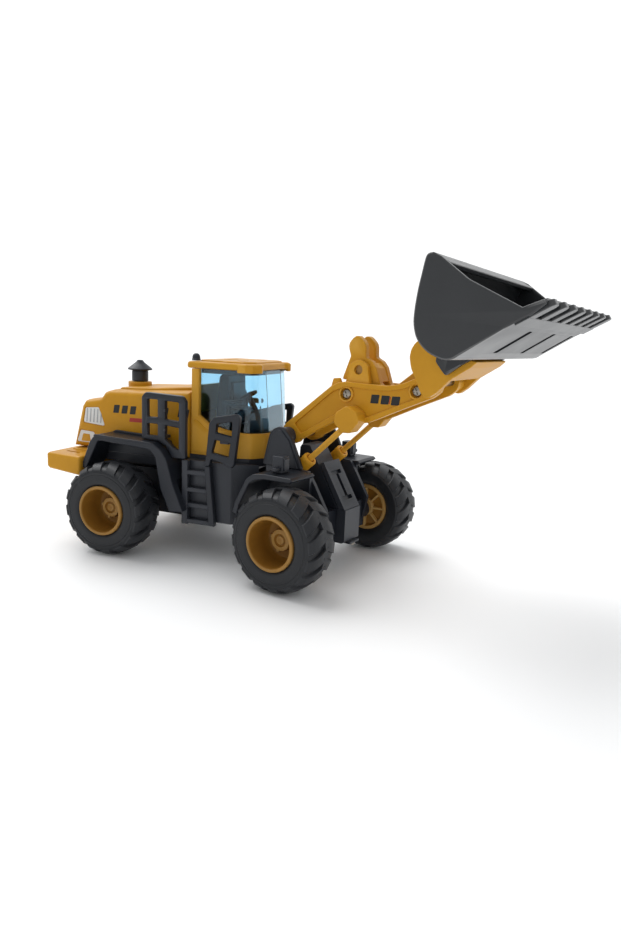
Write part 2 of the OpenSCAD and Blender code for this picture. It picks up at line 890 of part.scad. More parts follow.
module coupler() {
  color("orange")
  at_front()
  difference() {
    union() {
      for (s = [-1, 1]) {
        slab(s > 0 ? 9.6 : -12, s > 0 ? 12 : -9.6)
        coupler_profile();
        rod_y(tip_x, tip_z, 2.6, s > 0 ? 7.3 : -9.7, s > 0 ? 9.7 : -7.3);
      }
      slab(-9.7, 9.7)
      polygon([[37.8, 59], [38.2, 59.3], [43.2, 62.6], [44.8, 64.1], [43, 64.6], [42, 63.7],
        [37.4, 60.4]]);
      slab(-9.7, 9.7)
      polygon([[34.4, 70], [37, 69.6], [38.6, 67.4], [37, 66.8], [35.6, 68.2], [34.2, 68.6]]);
    }
    rod_y(tip_x, tip_z, 1.2, -11.2, 11.2);
    rod_y(link_cx, link_cz, 0.8, -11.2, 11.2);
  }
}

module coupler_pin() {
  color("silver")
  at_front() {
    rod_y(tip_x, tip_z, 1.18, -11.1, 11.1);
    rod_y(link_cx, link_cz, 0.78, -11.1, 11.1);
  }
}

module bucket_side_profile() {
  polygon([[39.2, 85.9], [39.7, 86.6], [40.6, 86.9], [42.5, 86], [48.8, 81.3], [60.3, 75.8],
    [65, 77.7], [65.3, 76.6], [62.4, 74.5], [57.1, 71.6], [47.9, 65.6], [46.6, 64.9], [44.6, 64.8],
    [41.4, 66.1], [38.6, 68.6], [37.4, 71.6], [37.4, 74], [37.9, 79.1]]);
}

module bucket_shell_profile() {
  polygon([[39.2, 85.9], [39.7, 86.6], [40.6, 86.9], [42, 86.2], [41.2, 84.4], [40, 82],
    [39.3, 78.9], [38.9, 74], [39, 72], [39.9, 69.7], [42.2, 67.4], [44.8, 66.3], [46.2, 66.4],
    [56.6, 73.4], [60.3, 75.8], [65, 77.7], [65.3, 76.6], [62.4, 74.5], [57.1, 71.6], [47.9, 65.6],
    [46.6, 64.9], [44.6, 64.8], [41.4, 66.1], [38.6, 68.6], [37.4, 71.6], [37.4, 74], [37.9, 79.1]]);
}

module bucket() {
  color("dimgray")
  at_front() {
    difference() {
      slab(-bucket_half, bucket_half)
      bucket_shell_profile();
      for (y = [-13, 9.5, 30.5]) {
        translate([49.2, y - 0.6, 66.4])
        rotate([0, -33.1, 0])
        translate([0, 0, -0.6])
        cube([9, 1.2, 1]);
      }
    }
    for (s = [-1, 1]) {
      slab(s > 0 ? bucket_half - bucket_side : -bucket_half, s > 0 ? bucket_half : -bucket_half + bucket_side)
      bucket_side_profile();
      slab(s > 0 ? 12.2 : -13.8, s > 0 ? 13.8 : -12.2)
      polygon([[38.2, 70], [35.6, 66.6], [34.8, 63.8], [37.7, 60.4], [41.4, 63.2], [45.2, 65.4], [41, 67]]);
    }
    for (k = [0 : tooth_count - 1]) {
      translate([58.9, -31.2 + k * 62.4 / (tooth_count - 1) - 2.6, 72.9])
      rotate([0, -30, 0])
      translate([0, 0, -0.9])
      cube([8.4, 5.2, 1.7]);
    }
  }
}

// ---------- lift cylinders ----------
module ram_frame() {
  translate([ram_x, 0, ram_z])
  rotate([0, 90 - ram_angle, 0])
  children();
}

module lift_barrel_shape() {
  difference() {
    union() {
      translate([0, -ram_y, 0])
      ram_frame() {
        translate([0, 0, -4.8])
        cylinder(h = 11.6, r = barrel_r - 0.1);
        translate([0, 0, 6.3])
        cylinder(h = 1.4, r = barrel_r);
      }
      rod_y(ram_x, ram_z, 1.05, -12.7, -ram_y);
    }
    translate([0, -ram_y, 0])
    ram_frame()
    translate([0, 0, -3.9])
    cylinder(h = 16, r = rod_r + 0.1);
  }
}

module lift_barrel(side) {
  color("orange")
  at_front()
  flip(side)
  lift_barrel_shape();
}

module lift_rod_shape() {
  translate([0, -ram_y, 0])
  ram_frame()
  translate([0, 0, 4.9])
  cylinder(h = ram_length - 4.9, r = rod_r);
  rod_y(eye_x, eye_z, 1.35, -ram_y - 0.9, -ram_y + 0.9);
}

module lift_rod(side) {
  color("orange")
  at_front()
  flip(side)
  lift_rod_shape();
}

rear_chassis();
rear_belly_plate();
counterweight();
engine_hood();
exhaust_stack();
rear_fender(-1);  // rear_fender_right
rear_fender(1);  // rear_fender_left
side_rail(-1);  // side_rail_right
side_rail(1);  // side_rail_left
ladder(-1);  // ladder_right
ladder(1);  // ladder_left
hand_rail(-1);  // hand_rail_right
hand_rail(1);  // hand_rail_left
side_tank(-1);  // side_tank_right
side_tank(1);  // side_tank_left
cab_body();
cab_roof();
cab_windows();
driver_seat();
dash_console();
steering_wheel();
roof_beacon();
hinge_pin();
rear_screws();
rear_axle();
rear_rim(-1);  // rear_rim_right
rear_rim(1);  // rear_rim_left
rear_tyre(-1);  // rear_tyre_right
rear_tyre(1);  // rear_tyre_left
front_chassis();
front_belly_plate();
tower_shield();
tower_cowl(-1);  // tower_cowl_right
tower_cowl(1);  // tower_cowl_left
front_fender(-1);  // front_fender_right
front_fender(1);  // front_fender_left
headlamp(-1);  // headlamp_right
headlamp(1);  // headlamp_left
boom_pin();
front_screws();
front_axle();
front_rim(-1);  // front_rim_right
front_rim(1);  // front_rim_left
front_tyre(-1);  // front_tyre_right
front_tyre(1);  // front_tyre_left
boom_right();
boom_left();
boom_screws();
rocker();
rocker_pin();
tilt_link();
coupler();
coupler_pin();
bucket();
lift_barrel(-1);  // lift_barrel_right
lift_barrel(1);  // lift_barrel_left
lift_rod(-1);  // lift_rod_right
lift_rod(1);  // lift_rod_left
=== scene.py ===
import json
import math

import bmesh
import bpy
from mathutils import Matrix, Vector
from mathutils.geometry import tessellate_polygon


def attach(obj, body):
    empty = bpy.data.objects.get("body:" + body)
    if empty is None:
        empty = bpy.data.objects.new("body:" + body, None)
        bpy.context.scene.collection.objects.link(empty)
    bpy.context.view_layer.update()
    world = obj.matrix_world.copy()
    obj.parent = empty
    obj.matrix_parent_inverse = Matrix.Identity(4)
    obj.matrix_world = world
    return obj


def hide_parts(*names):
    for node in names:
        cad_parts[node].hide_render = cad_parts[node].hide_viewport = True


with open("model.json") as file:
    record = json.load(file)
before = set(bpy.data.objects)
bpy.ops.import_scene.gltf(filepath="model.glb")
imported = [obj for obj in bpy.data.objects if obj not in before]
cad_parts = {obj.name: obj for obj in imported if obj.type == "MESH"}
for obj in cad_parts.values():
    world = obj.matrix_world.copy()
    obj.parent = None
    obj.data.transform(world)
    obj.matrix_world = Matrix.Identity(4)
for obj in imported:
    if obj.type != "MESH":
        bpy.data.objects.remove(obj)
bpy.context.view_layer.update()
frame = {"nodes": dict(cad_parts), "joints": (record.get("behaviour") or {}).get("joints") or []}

# ---------------------------------------------------------------- frame
# Outlines are in millimetres in each frame's own axes: x runs forward, the front axle crosses
# x = 0, the floor is z = 0 and the right-hand side has negative y. A pair is drawn once, on the
# right. REAR and FRONT turn the two frames' millimetres into the shared frame's metres.
MM = 0.001
HINGE_X = -33.0
REAR_AXLE_X = -66.0
HUB_Z = 14.2
SIDES = (("right", False), ("left", True))
joints = {j["name"]: j for j in frame["joints"]}
steer = Vector(joints["centre_steer"]["pos_m"])
roll_axis = Vector(joints["front_wheels_roll"]["axis"])
STEER = math.atan2(-roll_axis.x, roll_axis.y)
REAR = Matrix.Translation((steer.x - HINGE_X * MM, steer.y, 0)) @ Matrix.Scale(MM, 4)
FRONT = (Matrix.Translation((steer.x, steer.y, 0)) @ Matrix.Rotation(STEER, 4, "Z")
         @ Matrix.Translation((-HINGE_X * MM, 0, 0)) @ Matrix.Scale(MM, 4))


# ---------------------------------------------------------------- outlines
def rounded(points, radius=0.5, steps=3):
    """A closed outline with its corners turned into arcs; a point may carry its own radius."""
    out = []
    count = len(points)
    for i, point in enumerate(points):
        here = Vector(point[:2])
        size = point[2] if len(point) > 2 else radius
        before = Vector(points[i - 1][:2]) - here
        after = Vector(points[(i + 1) % count][:2]) - here
        turn = before.angle(after)
        if size <= 0 or turn > math.radians(176):
            out.append(here)
            continue
        reach = min(size / math.tan(turn / 2), 0.46 * before.length, 0.46 * after.length)
        start = here + before.normalized() * reach
        end = here + after.normalized() * reach
        for k in range(steps + 1):
            t = k / steps
            out.append(start * (1 - t) ** 2 + here * 2 * t * (1 - t) + end * t ** 2)
    return out


def area(points):
    return sum(a.x * b.y - b.x * a.y for a, b in zip(points, points[1:] + points[:1])) / 2


def inset(points, amount):
    """The outline moved inwards by amount, which is negative for a hole."""
    side = 1 if area(points) > 0 else -1
    out = []
    for i, here in enumerate(points):
        before = (here - points[i - 1]).normalized()
        after = (points[(i + 1) % len(points)] - here).normalized()
        normal = Vector((-before.y - after.y, before.x + after.x))
        if normal.length < 0.2:
            normal = Vector((-after.y, after.x))
        normal.normalize()
        spread = max(0.5, normal.dot(Vector((-after.y, after.x))))
        out.append(here + normal * (side * amount / spread))
    return out


def ring(outline, amount, radius, steps):
    """The outline drawn in by amount, which is negative for a hole, then given its corner arcs."""
    moved = inset([Vector(p[:2]) for p in outline], amount)
    side = 1 if area(moved) > 0 else -1
    sized = []
    for i, raw in enumerate(outline):
        size = raw[2] if len(raw) > 2 else radius
        before = moved[i] - moved[i - 1]
        after = moved[(i + 1) % len(moved)] - moved[i]
        outward = side * (before.x * after.y - before.y * after.x) > 0
        if size > 0:
            size = max(0.03, size - amount if outward else size + amount)
        sized.append((*moved[i], size))
    return rounded(sized, radius, steps)


def soft_levels(low, high, edge, steps=3):
    """Heights and insets that round both ends of an extrusion."""
    edge = min(edge, (high - low) / 2)
    turns = [math.pi / 2 * k / steps for k in range(steps + 1)]
    ends = [(edge * (1 - math.cos(a)), edge * (1 - math.sin(a))) for a in turns]
    return [(low + h, e) for h, e in ends] + [(high - h, e) for h, e in reversed(ends)]


def spline(points, steps=4):
    """A smooth open line through the points."""
    pts = [Vector(p) for p in points]
    out = []
    for i in range(len(pts) - 1):
        a = pts[max(i - 1, 0)]
        b = pts[i]
        c = pts[i + 1]
        d = pts[min(i + 2, len(pts) - 1)]
        for k in range(steps):
            t = k / steps
            out.append(0.5 * (2 * b + (c - a) * t + (2 * a - 5 * b + 4 * c - d) * t ** 2
                              + (3 * b - a - 3 * c + d) * t ** 3))
    out.append(pts[-1])
    return out


# ---------------------------------------------------------------- pieces
class Piece:
    """One visible piece, built from closed shells in its frame's own millimetres."""

    def __init__(self):
        self.bm = bmesh.new()

    def shell(self, verts, faces):
        made = [self.bm.verts.new(v) for v in verts]
        for face in faces:
            try:
                self.bm.faces.new([made[i] for i in face])
            except ValueError:
                pass

    def stack(self, outline, levels, turn, holes=(), radius=0.0, steps=3):
        """Extrudes an outline through levels of (height, inset); turn maps (u, v, h) to x, y, z."""
        shapes = [(outline, radius, 1)] + [(h, radius * 0.8, -1) for h in holes]
        verts, faces = [], []
        for height, amount in levels:
            rings = [ring(line, sign * amount, r, steps) for line, r, sign in shapes]
            verts += [turn(p.x, p.y, height) for points in rings for p in points]
        size = len(verts) // len(levels)
        for level in range(len(levels) - 1):
            start = level * size
            for points in rings:
                n = len(points)
                for i in range(n):
                    a = start + i
                    b = start + (i + 1) % n
                    faces.append((a, b, b + size, a + size))
                start += n
        caps = [tuple(range(size))]
        if holes:
            caps = tessellate_polygon([[Vector((p.x, p.y, 0)) for p in points] for points in rings])
        top = (len(levels) - 1) * size
        faces += [tuple(reversed(t)) for t in caps] + [tuple(i + top for i in t) for t in caps]
        self.shell(verts, faces)

    def slab(self, outline, y0, y1, radius=0.5, edge=0.2, holes=(), steps=3):
        """An outline in x and z given a width in y, with rounded corners and edges."""
        self.stack(outline, soft_levels(y0, y1, edge), lambda u, v, h: (u, h, v), holes, radius, steps)

    def plan(self, outline, z0, z1, radius=0.5, edge=0.2, levels=None):
        """An outline in x and y given a height in z."""
        self.stack(outline, levels or soft_levels(z0, z1, edge), lambda u, v, h: (u, v, h), (), radius)

    def box(self, x0, x1, y0, y1, z0, z1, radius=0.3, edge=0.2):
        self.plan([(x0, y0), (x1, y0), (x1, y1), (x0, y1)], z0, z1, radius, edge)

    def lathe(self, profile, spot, segments=48):
        """Turns a closed (radius, distance) profile; spot maps (a, b, distance) to x, y, z."""
        n = len(profile)
        verts, faces = [], []
        for k in range(segments):
            c = math.cos(2 * math.pi * k / segments)
            s = math.sin(2 * math.pi * k / segments)
            verts += [spot(r * c, r * s, d) for r, d in profile]
        for k in range(segments):
            for i in range(n):
                a = k * n + i
                b = k * n + (i + 1) % n
                m = ((k + 1) % segments) * n
                faces.append((a, b, m + (i + 1) % n, m + i))
        self.shell(verts, faces)

    def rod(self, x, z, r, y0, y1, edge=0.12, segments=32):
        """A round bar along y."""
        profile = [(0.0001, y0), (r - edge, y0), (r, y0 + edge), (r, y1 - edge), (r - edge, y1), (0.0001, y1)]
        self.lathe(profile, lambda a, b, d: (x + a, d, z + b), segments)

    def post(self, x, y, profile, segments=40):
        """A round body along z."""
        self.lathe(profile, lambda a, b, d: (x + a, y + b, d), segments)

    def mesh(self, name, place, mirrored=False):
        bmesh.ops.remove_doubles(self.bm, verts=self.bm.verts, dist=0.002)
        if mirrored:
            bmesh.ops.transform(self.bm, matrix=Matrix.Scale(-1, 4, (0, 1, 0)), verts=self.bm.verts)
        bmesh.ops.recalc_face_normals(self.bm, faces=self.bm.faces)
        mesh = bpy.data.meshes.new(name)
        self.bm.to_mesh(mesh)
        self.bm.free()
        mesh.transform(place)
        return mesh

    def done(self, name, body, material, place=REAR, nodes=(), mirrored=False, sharp=38, cutters=()):
        """Makes the object, lets it ride on its body and stands it in for its CAD nodes."""
        mesh = self.mesh(name, place, mirrored)
        obj = bpy.data.objects.new(name, mesh)
        bpy.context.collection.objects.link(obj)
        if cutters:
            cut(obj, merged(cutters).mesh(name + "_cut", place, mirrored))
        finish_surface(obj, material, sharp)
        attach(obj, body)
        if nodes:
            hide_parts(*nodes)
        return obj


def merged(tools):
    """One piece made of the shells of several."""
    whole = Piece()
    for tool in tools:
        part = bpy.data.meshes.new("part")
        tool.bm.to_mesh(part)
        tool.bm.free()
        whole.bm.from_mesh(part)
        bpy.data.meshes.remove(part)
    return whole


def cut(obj, mesh):
    """Takes a mesh out of an object for good."""
    tool = bpy.data.objects.new("cutter", mesh)
    bpy.context.collection.objects.link(tool)
    step = obj.modifiers.new("cut", "BOOLEAN")
    step.operation = "DIFFERENCE"
    step.solver = "EXACT"
    step.use_self = True
    step.object = tool
    bpy.context.view_layer.update()
    graph = bpy.context.evaluated_depsgraph_get()
    result = bpy.data.meshes.new_from_object(obj.evaluated_get(graph))
    obj.modifiers.clear()
    old = obj.data
    obj.data = result
    bpy.data.meshes.remove(old)
    bpy.data.objects.remove(tool)


def finish_surface(obj, material, sharp=38):
    obj.data.materials.clear()
    obj.data.materials.append(material)
    obj.data.polygons.foreach_set("use_smooth", [True] * len(obj.data.polygons))
    obj.data.set_sharp_from_angle(angle=math.radians(sharp))
    step = obj.modifiers.new("even_normals", "WEIGHTED_NORMAL")
    step.keep_sharp = True
    step.weight = 80


def material(name, slot):
    mat = bpy.data.materials.new(name)
    mat.use_nodes = True
    return mat, mat.node_tree.nodes, mat.node_tree.links, mat.node_tree.nodes["Principled BSDF"]


def noise(nodes, links, scale, detail=2.0, roughness=0.5):
    """Noise in the piece's own space."""
    place = nodes.new("ShaderNodeTexCoord")
    texture = nodes.new("ShaderNodeTexNoise")
    texture.inputs["Scale"].default_value = scale
    texture.inputs["Detail"].default_value = detail
    texture.inputs["Roughness"].default_value = roughness
    links.new(place.outputs["Object"], texture.inputs["Vector"])
    return texture.outputs["Fac"]


def tones(nodes, links, source, low, high, start=0.0, end=1.0):
    """The source turned into colours between low and high."""
    ramp = nodes.new("ShaderNodeValToRGB")
    for element, position, colour in zip(ramp.color_ramp.elements, (start, end), (low, high)):
        element.position = position
        element.color = (*colour, 1)
    links.new(source, ramp.inputs["Fac"])
    return ramp.outputs["Color"]


def ranged(nodes, links, source, low, high, start=0.0, end=1.0):
    """The source mapped from start and end onto low and high."""
    step = nodes.new("ShaderNodeMapRange")
    for socket, value in (("From Min", start), ("From Max", end), ("To Min", low), ("To Max", high)):
        step.inputs[socket].default_value = value
    links.new(source, step.inputs["Value"])
    return step.outputs["Result"]


def plastic(name, slot, low, high, rough, grain=2600, bump=0.05, wear=0.0, coat=0.0, worn=(1, 1, 1),
            shine=0.3):
    """Moulded plastic: cloudy colour, fine grain in the gloss and the surface, paler rubbed edges."""
    mat, nodes, links, bsdf = material(name, slot)
    cloud = noise(nodes, links, 90, 5, 0.62)
    colour = tones(nodes, links, cloud, low, high, 0.3, 0.72)
    links.new(ranged(nodes, links, cloud, rough - 0.06, rough + 0.1), bsdf.inputs["Roughness"])
    hump = nodes.new("ShaderNodeBump")
    hump.inputs["Strength"].default_value = bump
    hump.inputs["Distance"].default_value = 0.0002
    links.new(noise(nodes, links, grain, 3), hump.inputs["Height"])
    links.new(hump.outputs["Normal"], bsdf.inputs["Normal"])
    if wear:
        shape = nodes.new("ShaderNodeNewGeometry")
        mix = nodes.new("ShaderNodeMix")
        mix.data_type = "RGBA"
        mix.inputs["B"].default_value = (*worn, 1)
        links.new(ranged(nodes, links, shape.outputs["Pointiness"], 0, wear, 0.52, 0.6), mix.inputs["Factor"])
        links.new(colour, mix.inputs["A"])
        colour = mix.outputs["Result"]
    links.new(colour, bsdf.inputs["Base Color"])
    bsdf.inputs["Specular IOR Level"].default_value = shine
    bsdf.inputs["Coat Weight"].default_value = coat
    bsdf.inputs["Coat Roughness"].default_value = 0.12
    return mat


ORANGE = plastic("orange_moulding", "orange_plastic", (0.52, 0.243, 0.013), (0.6, 0.292, 0.018), 0.36,
                 wear=0.35, worn=(0.78, 0.45, 0.09), coat=0.02, shine=0.14)
# The dark amber also goes on the rocker pin, where it is painted shade for the dark hole the pin sits in.
RIM = plastic("amber_moulding", "rim_plastic", (0.24, 0.11, 0.016), (0.3, 0.14, 0.022), 0.38,
              wear=0.6, worn=(0.66, 0.45, 0.18), shine=0.2)
BLACK = plastic("black_moulding", "black_plastic", (0.0105, 0.0127, 0.0182), (0.016, 0.0192, 0.027), 0.36,
                wear=0.4, worn=(0.06, 0.065, 0.078), shine=0.36)
BUCKET = plastic("bucket_moulding", "bucket_plastic", (0.013, 0.0148, 0.0175), (0.018, 0.0202, 0.023), 0.3,
                 bump=0.03, wear=0.55, worn=(0.16, 0.16, 0.16), shine=0.42)
TYRE = plastic("soft_tyre", "tyre_rubber", (0.0125, 0.0138, 0.0162), (0.018, 0.0195, 0.0225), 0.43,
               grain=1800, bump=0.08, wear=0.2, worn=(0.05, 0.053, 0.062), shine=0.32)
WHITE = plastic("white_print", "orange_plastic", (0.68, 0.68, 0.66), (0.78, 0.78, 0.76), 0.4, bump=0.02)
GREY = plastic("grey_print", "orange_plastic", (0.36, 0.37, 0.38), (0.44, 0.45, 0.46), 0.4, bump=0.02)
INK = plastic("black_print", "orange_plastic", (0.012, 0.014, 0.014), (0.022, 0.025, 0.024), 0.42, bump=0.02)
RED = plastic("red_print", "orange_plastic", (0.36, 0.03, 0.02), (0.44, 0.045, 0.03), 0.42, bump=0.02)


def steel():
    mat, nodes, links, bsdf = material("turned_steel", "steel")
    lines = noise(nodes, links, 1500, 4)
    links.new(tones(nodes, links, lines, (0.2, 0.18, 0.15), (0.42, 0.38, 0.32)), bsdf.inputs["Base Color"])
    links.new(ranged(nodes, links, lines, 0.2, 0.42), bsdf.inputs["Roughness"])
    bsdf.inputs["Metallic"].default_value = 1.0
    return mat


def window():
    mat, nodes, links, bsdf = material("tinted_window", "clear_window")
    haze = noise(nodes, links, 120)
    links.new(tones(nodes, links, haze, (0.5, 0.78, 0.94), (0.62, 0.86, 0.98)), bsdf.inputs["Base Color"])
    links.new(ranged(nodes, links, haze, 0.02, 0.07), bsdf.inputs["Roughness"])
    bsdf.inputs["Transmission Weight"].default_value = 1.0
    bsdf.inputs["IOR"].default_value = 1.45
    return mat


STEEL = steel()
WINDOW = window()


def keep(node, mat, edge=0.2):
    """A CAD node that shows: its own mesh with rounded edges and a finished material."""
    obj = frame["nodes"][node]
    obj.data.materials.clear()
    obj.data.materials.append(mat)
    if edge:
        step = obj.modifiers.new("soft_edges", "BEVEL")
        step.width = edge * MM
        step.segments = 2
        step.limit_method = "ANGLE"
        step.angle_limit = math.radians(40)
        step.use_clamp_overlap = True
    step = obj.modifiers.new("even_normals", "WEIGHTED_NORMAL")
    step.keep_sharp = True


# ---------------------------------------------------------------- wheels
LUGS = 16
LUG_LEAN = math.tan(math.radians(24))
CROWN = [(19.9, 12.4), (20.5, 13.2), (21.9, 13.9), (23.6, 14.2), (28.5, 14.2), (30.2, 13.9), (31.6, 13.3),
         (32.2, 12.55)]


def crown(y):
    for (y0, r0), (y1, r1) in zip(CROWN, CROWN[1:]):
        if y <= y1:
            return r0 + (r1 - r0) * (y - y0) / (y1 - y0)
    return CROWN[-1][1]


def tyre(name, body, place, x, mirrored):
    piece = Piece()

    def spot(a, b, d):
        return (x + a, -d, HUB_Z + b)

    side = [(7.62, 21.4), (8.6, 20.4), (9.6, 20.05), (11, 19.75), (11.8, 19.72), (12.4, 20.1), (12.9, 20.8),
            (13.2, 21.8), (13.3, 23.2), (13.35, 26), (13.3, 29), (13.1, 30.7), (12.7, 31.6), (12.1, 32.1),
            (11.5, 32.22), (11.3, 32.12), (11, 32.12), (10.8, 32.3), (9.4, 32.38), (8.6, 32.36),
            (8.1, 32.2), (7.62, 31.7)]
    piece.lathe(side, spot, 96)
    for row, (inner, outer, middle, lean) in enumerate(((19.95, 26.7, 22.8, 1), (25.3, 32.15, 29.2, -1))):
        stations = [inner + (outer - inner) * k / 9 for k in range(10)]
        for k in range(LUGS):
            start = (k + 0.5 * row) * 2 * math.pi / LUGS
            verts, faces = [], []
            for d in stations:
                top = crown(d)
                swing = lean * (d - middle) * LUG_LEAN
                for offset, radius in ((-1.95, 12.2), (-1.72, top - 0.28), (-1.5, top), (1.5, top),
                                       (1.72, top - 0.28), (1.95, 12.2)):
                    angle = start + (swing + offset) / 13.4
                    verts.append(spot(radius * math.cos(angle), radius * math.sin(angle), d))
            for i in range(len(stations) - 1):
                for j in range(6):
                    a = i * 6 + j
                    b = i * 6 + (j + 1) % 6
                    faces.append((a, b, b + 6, a + 6))
            faces.append(tuple(range(6)))
            faces.append(tuple(range(len(verts) - 6, len(verts))))
            piece.shell(verts, faces)
    piece.done(name, body, TYRE, place, [name.replace("_tread", "")], mirrored, sharp=32)


def rim(name, body, place, x, mirrored):
    piece = Piece()

    def spot(a, b, d):
        return (x + a, -d, HUB_Z + b)

    dish = [(1.02, 22.2), (6, 22.2), (6.3, 21.6), (6.5, 21.05), (7.3, 21.0), (7.58, 21.3), (7.58, 32.1),
            (7.5, 32.45), (7.3, 32.66), (7.05, 32.7), (6.8, 32.66), (6.62, 32.45), (6.5, 32.1), (6.4, 30),
            (6.2, 26.4), (6.05, 25.3), (5.6, 24.6), (4.8, 24.3), (3.6, 24.1), (3.3, 24.4), (3.1, 26.6),
            (2.9, 27.2), (2.3, 27.4), (1.9, 27.4), (1.75, 27.0), (1.5, 26.8), (1.02, 26.8)]
    piece.lathe(dish, spot, 72)
    piece.lathe([(0.0001, 25.9), (1.3, 25.9), (1.3, 27), (1.1, 27.3), (0.6, 27.45), (0.0001, 27.5)], spot, 24)
    for k in range(6):
        angle = k * math.pi / 3
        cx, cz = 4.4 * math.cos(angle), 4.4 * math.sin(angle)
        piece.lathe([(0.0001, 24), (0.55, 24), (0.55, 25), (0.4, 25.2), (0.0001, 25.25)],
                    lambda a, b, d, cx=cx, cz=cz: spot(cx + a, cz + b, d), 12)
    for k in range(8):
        angle = k * math.pi / 4
        arm = []
        for h, w in ((21.15, 0.26), (22.3, 0.36)):
            for u, v in ((2.4, -w), (6.6, -w), (6.6, w), (2.4, w)):
                arm.append(spot(u * math.cos(angle) - v * math.sin(angle),
                                u * math.sin(angle) + v * math.cos(angle), h))
        piece.shell(arm, [(0, 1, 2, 3), (4, 5, 6, 7), (0, 1, 5, 4), (1, 2, 6, 5), (2, 3, 7, 6), (3, 0, 4, 7)])
    piece.lathe([(1.02, 21), (2.5, 21), (2.9, 21.3), (2.9, 22.4), (1.02, 22.4)], spot, 32)
    piece.done(name, body, RIM, place, [name.replace("_dish", "")], mirrored, sharp=34)


for axle, place, x in (("rear", REAR, REAR_AXLE_X), ("front", FRONT, 0.0)):
    for side, mirrored in SIDES:
        tyre(f"{axle}_tyre_{side}_tread", f"{axle}_wheels", place, x, mirrored)
        rim(f"{axle}_rim_{side}_dish", f"{axle}_wheels", place, x, mirrored)


# ---------------------------------------------------------------- rear body
def pillow(piece, outline, half, insets, radius):
    """A side outline across y whose ends are drawn in, for crowned bodies."""
    levels = [(-half + d, e) for d, e in insets] + [(half - d, e) for d, e in reversed(insets)]
    piece.stack(outline, levels, lambda u, v, h: (u, h, v), (), radius, 4)


def counterweight():
    piece = Piece()
    pillow(piece, [(-91.2, 24.4), (-90.4, 23.6), (-79.2, 22.4), (-78.3, 23), (-78.2, 28.5), (-90.6, 28.9),
                   (-91.2, 28.3)],
           26, [(0, 0.9), (0.15, 0.45), (0.5, 0.15), (1.2, 0)], 0.9)
    pillow(piece, [(-88.6, 27), (-79, 27), (-79, 29.25), (-88.2, 29.25)], 17.2,
           [(0, 0.6), (0.2, 0.2), (0.7, 0)], 0.4)
    cutters = []
    for s in (-1, 1):
        tool = Piece()
        tool.box(-87.6, -82.6, s * 20.5 - 0.55, s * 20.5 + 0.55, 27.7, 31, 0.5, 0.1)
        cutters.append(tool)
    piece.done("counterweight_casting", "rear_frame", ORANGE, nodes=["counterweight"], cutters=cutters)


HOOD = [(-89.7, 29.4, 0.4), (-86, 43.4, 1.6), (-84.6, 45.3, 1.4), (-78.6, 46.3, 1.2), (-77, 48.4, 1.4),
        (-74.6, 49.1, 2), (-61, 49.6, 6), (-45.25, 50.6, 0.3), (-45.25, 29.4, 0.3)]
HOOD_HALF = 15.55
EXHAUST_X = -73.6
PRINT_DEPTH = 0.28


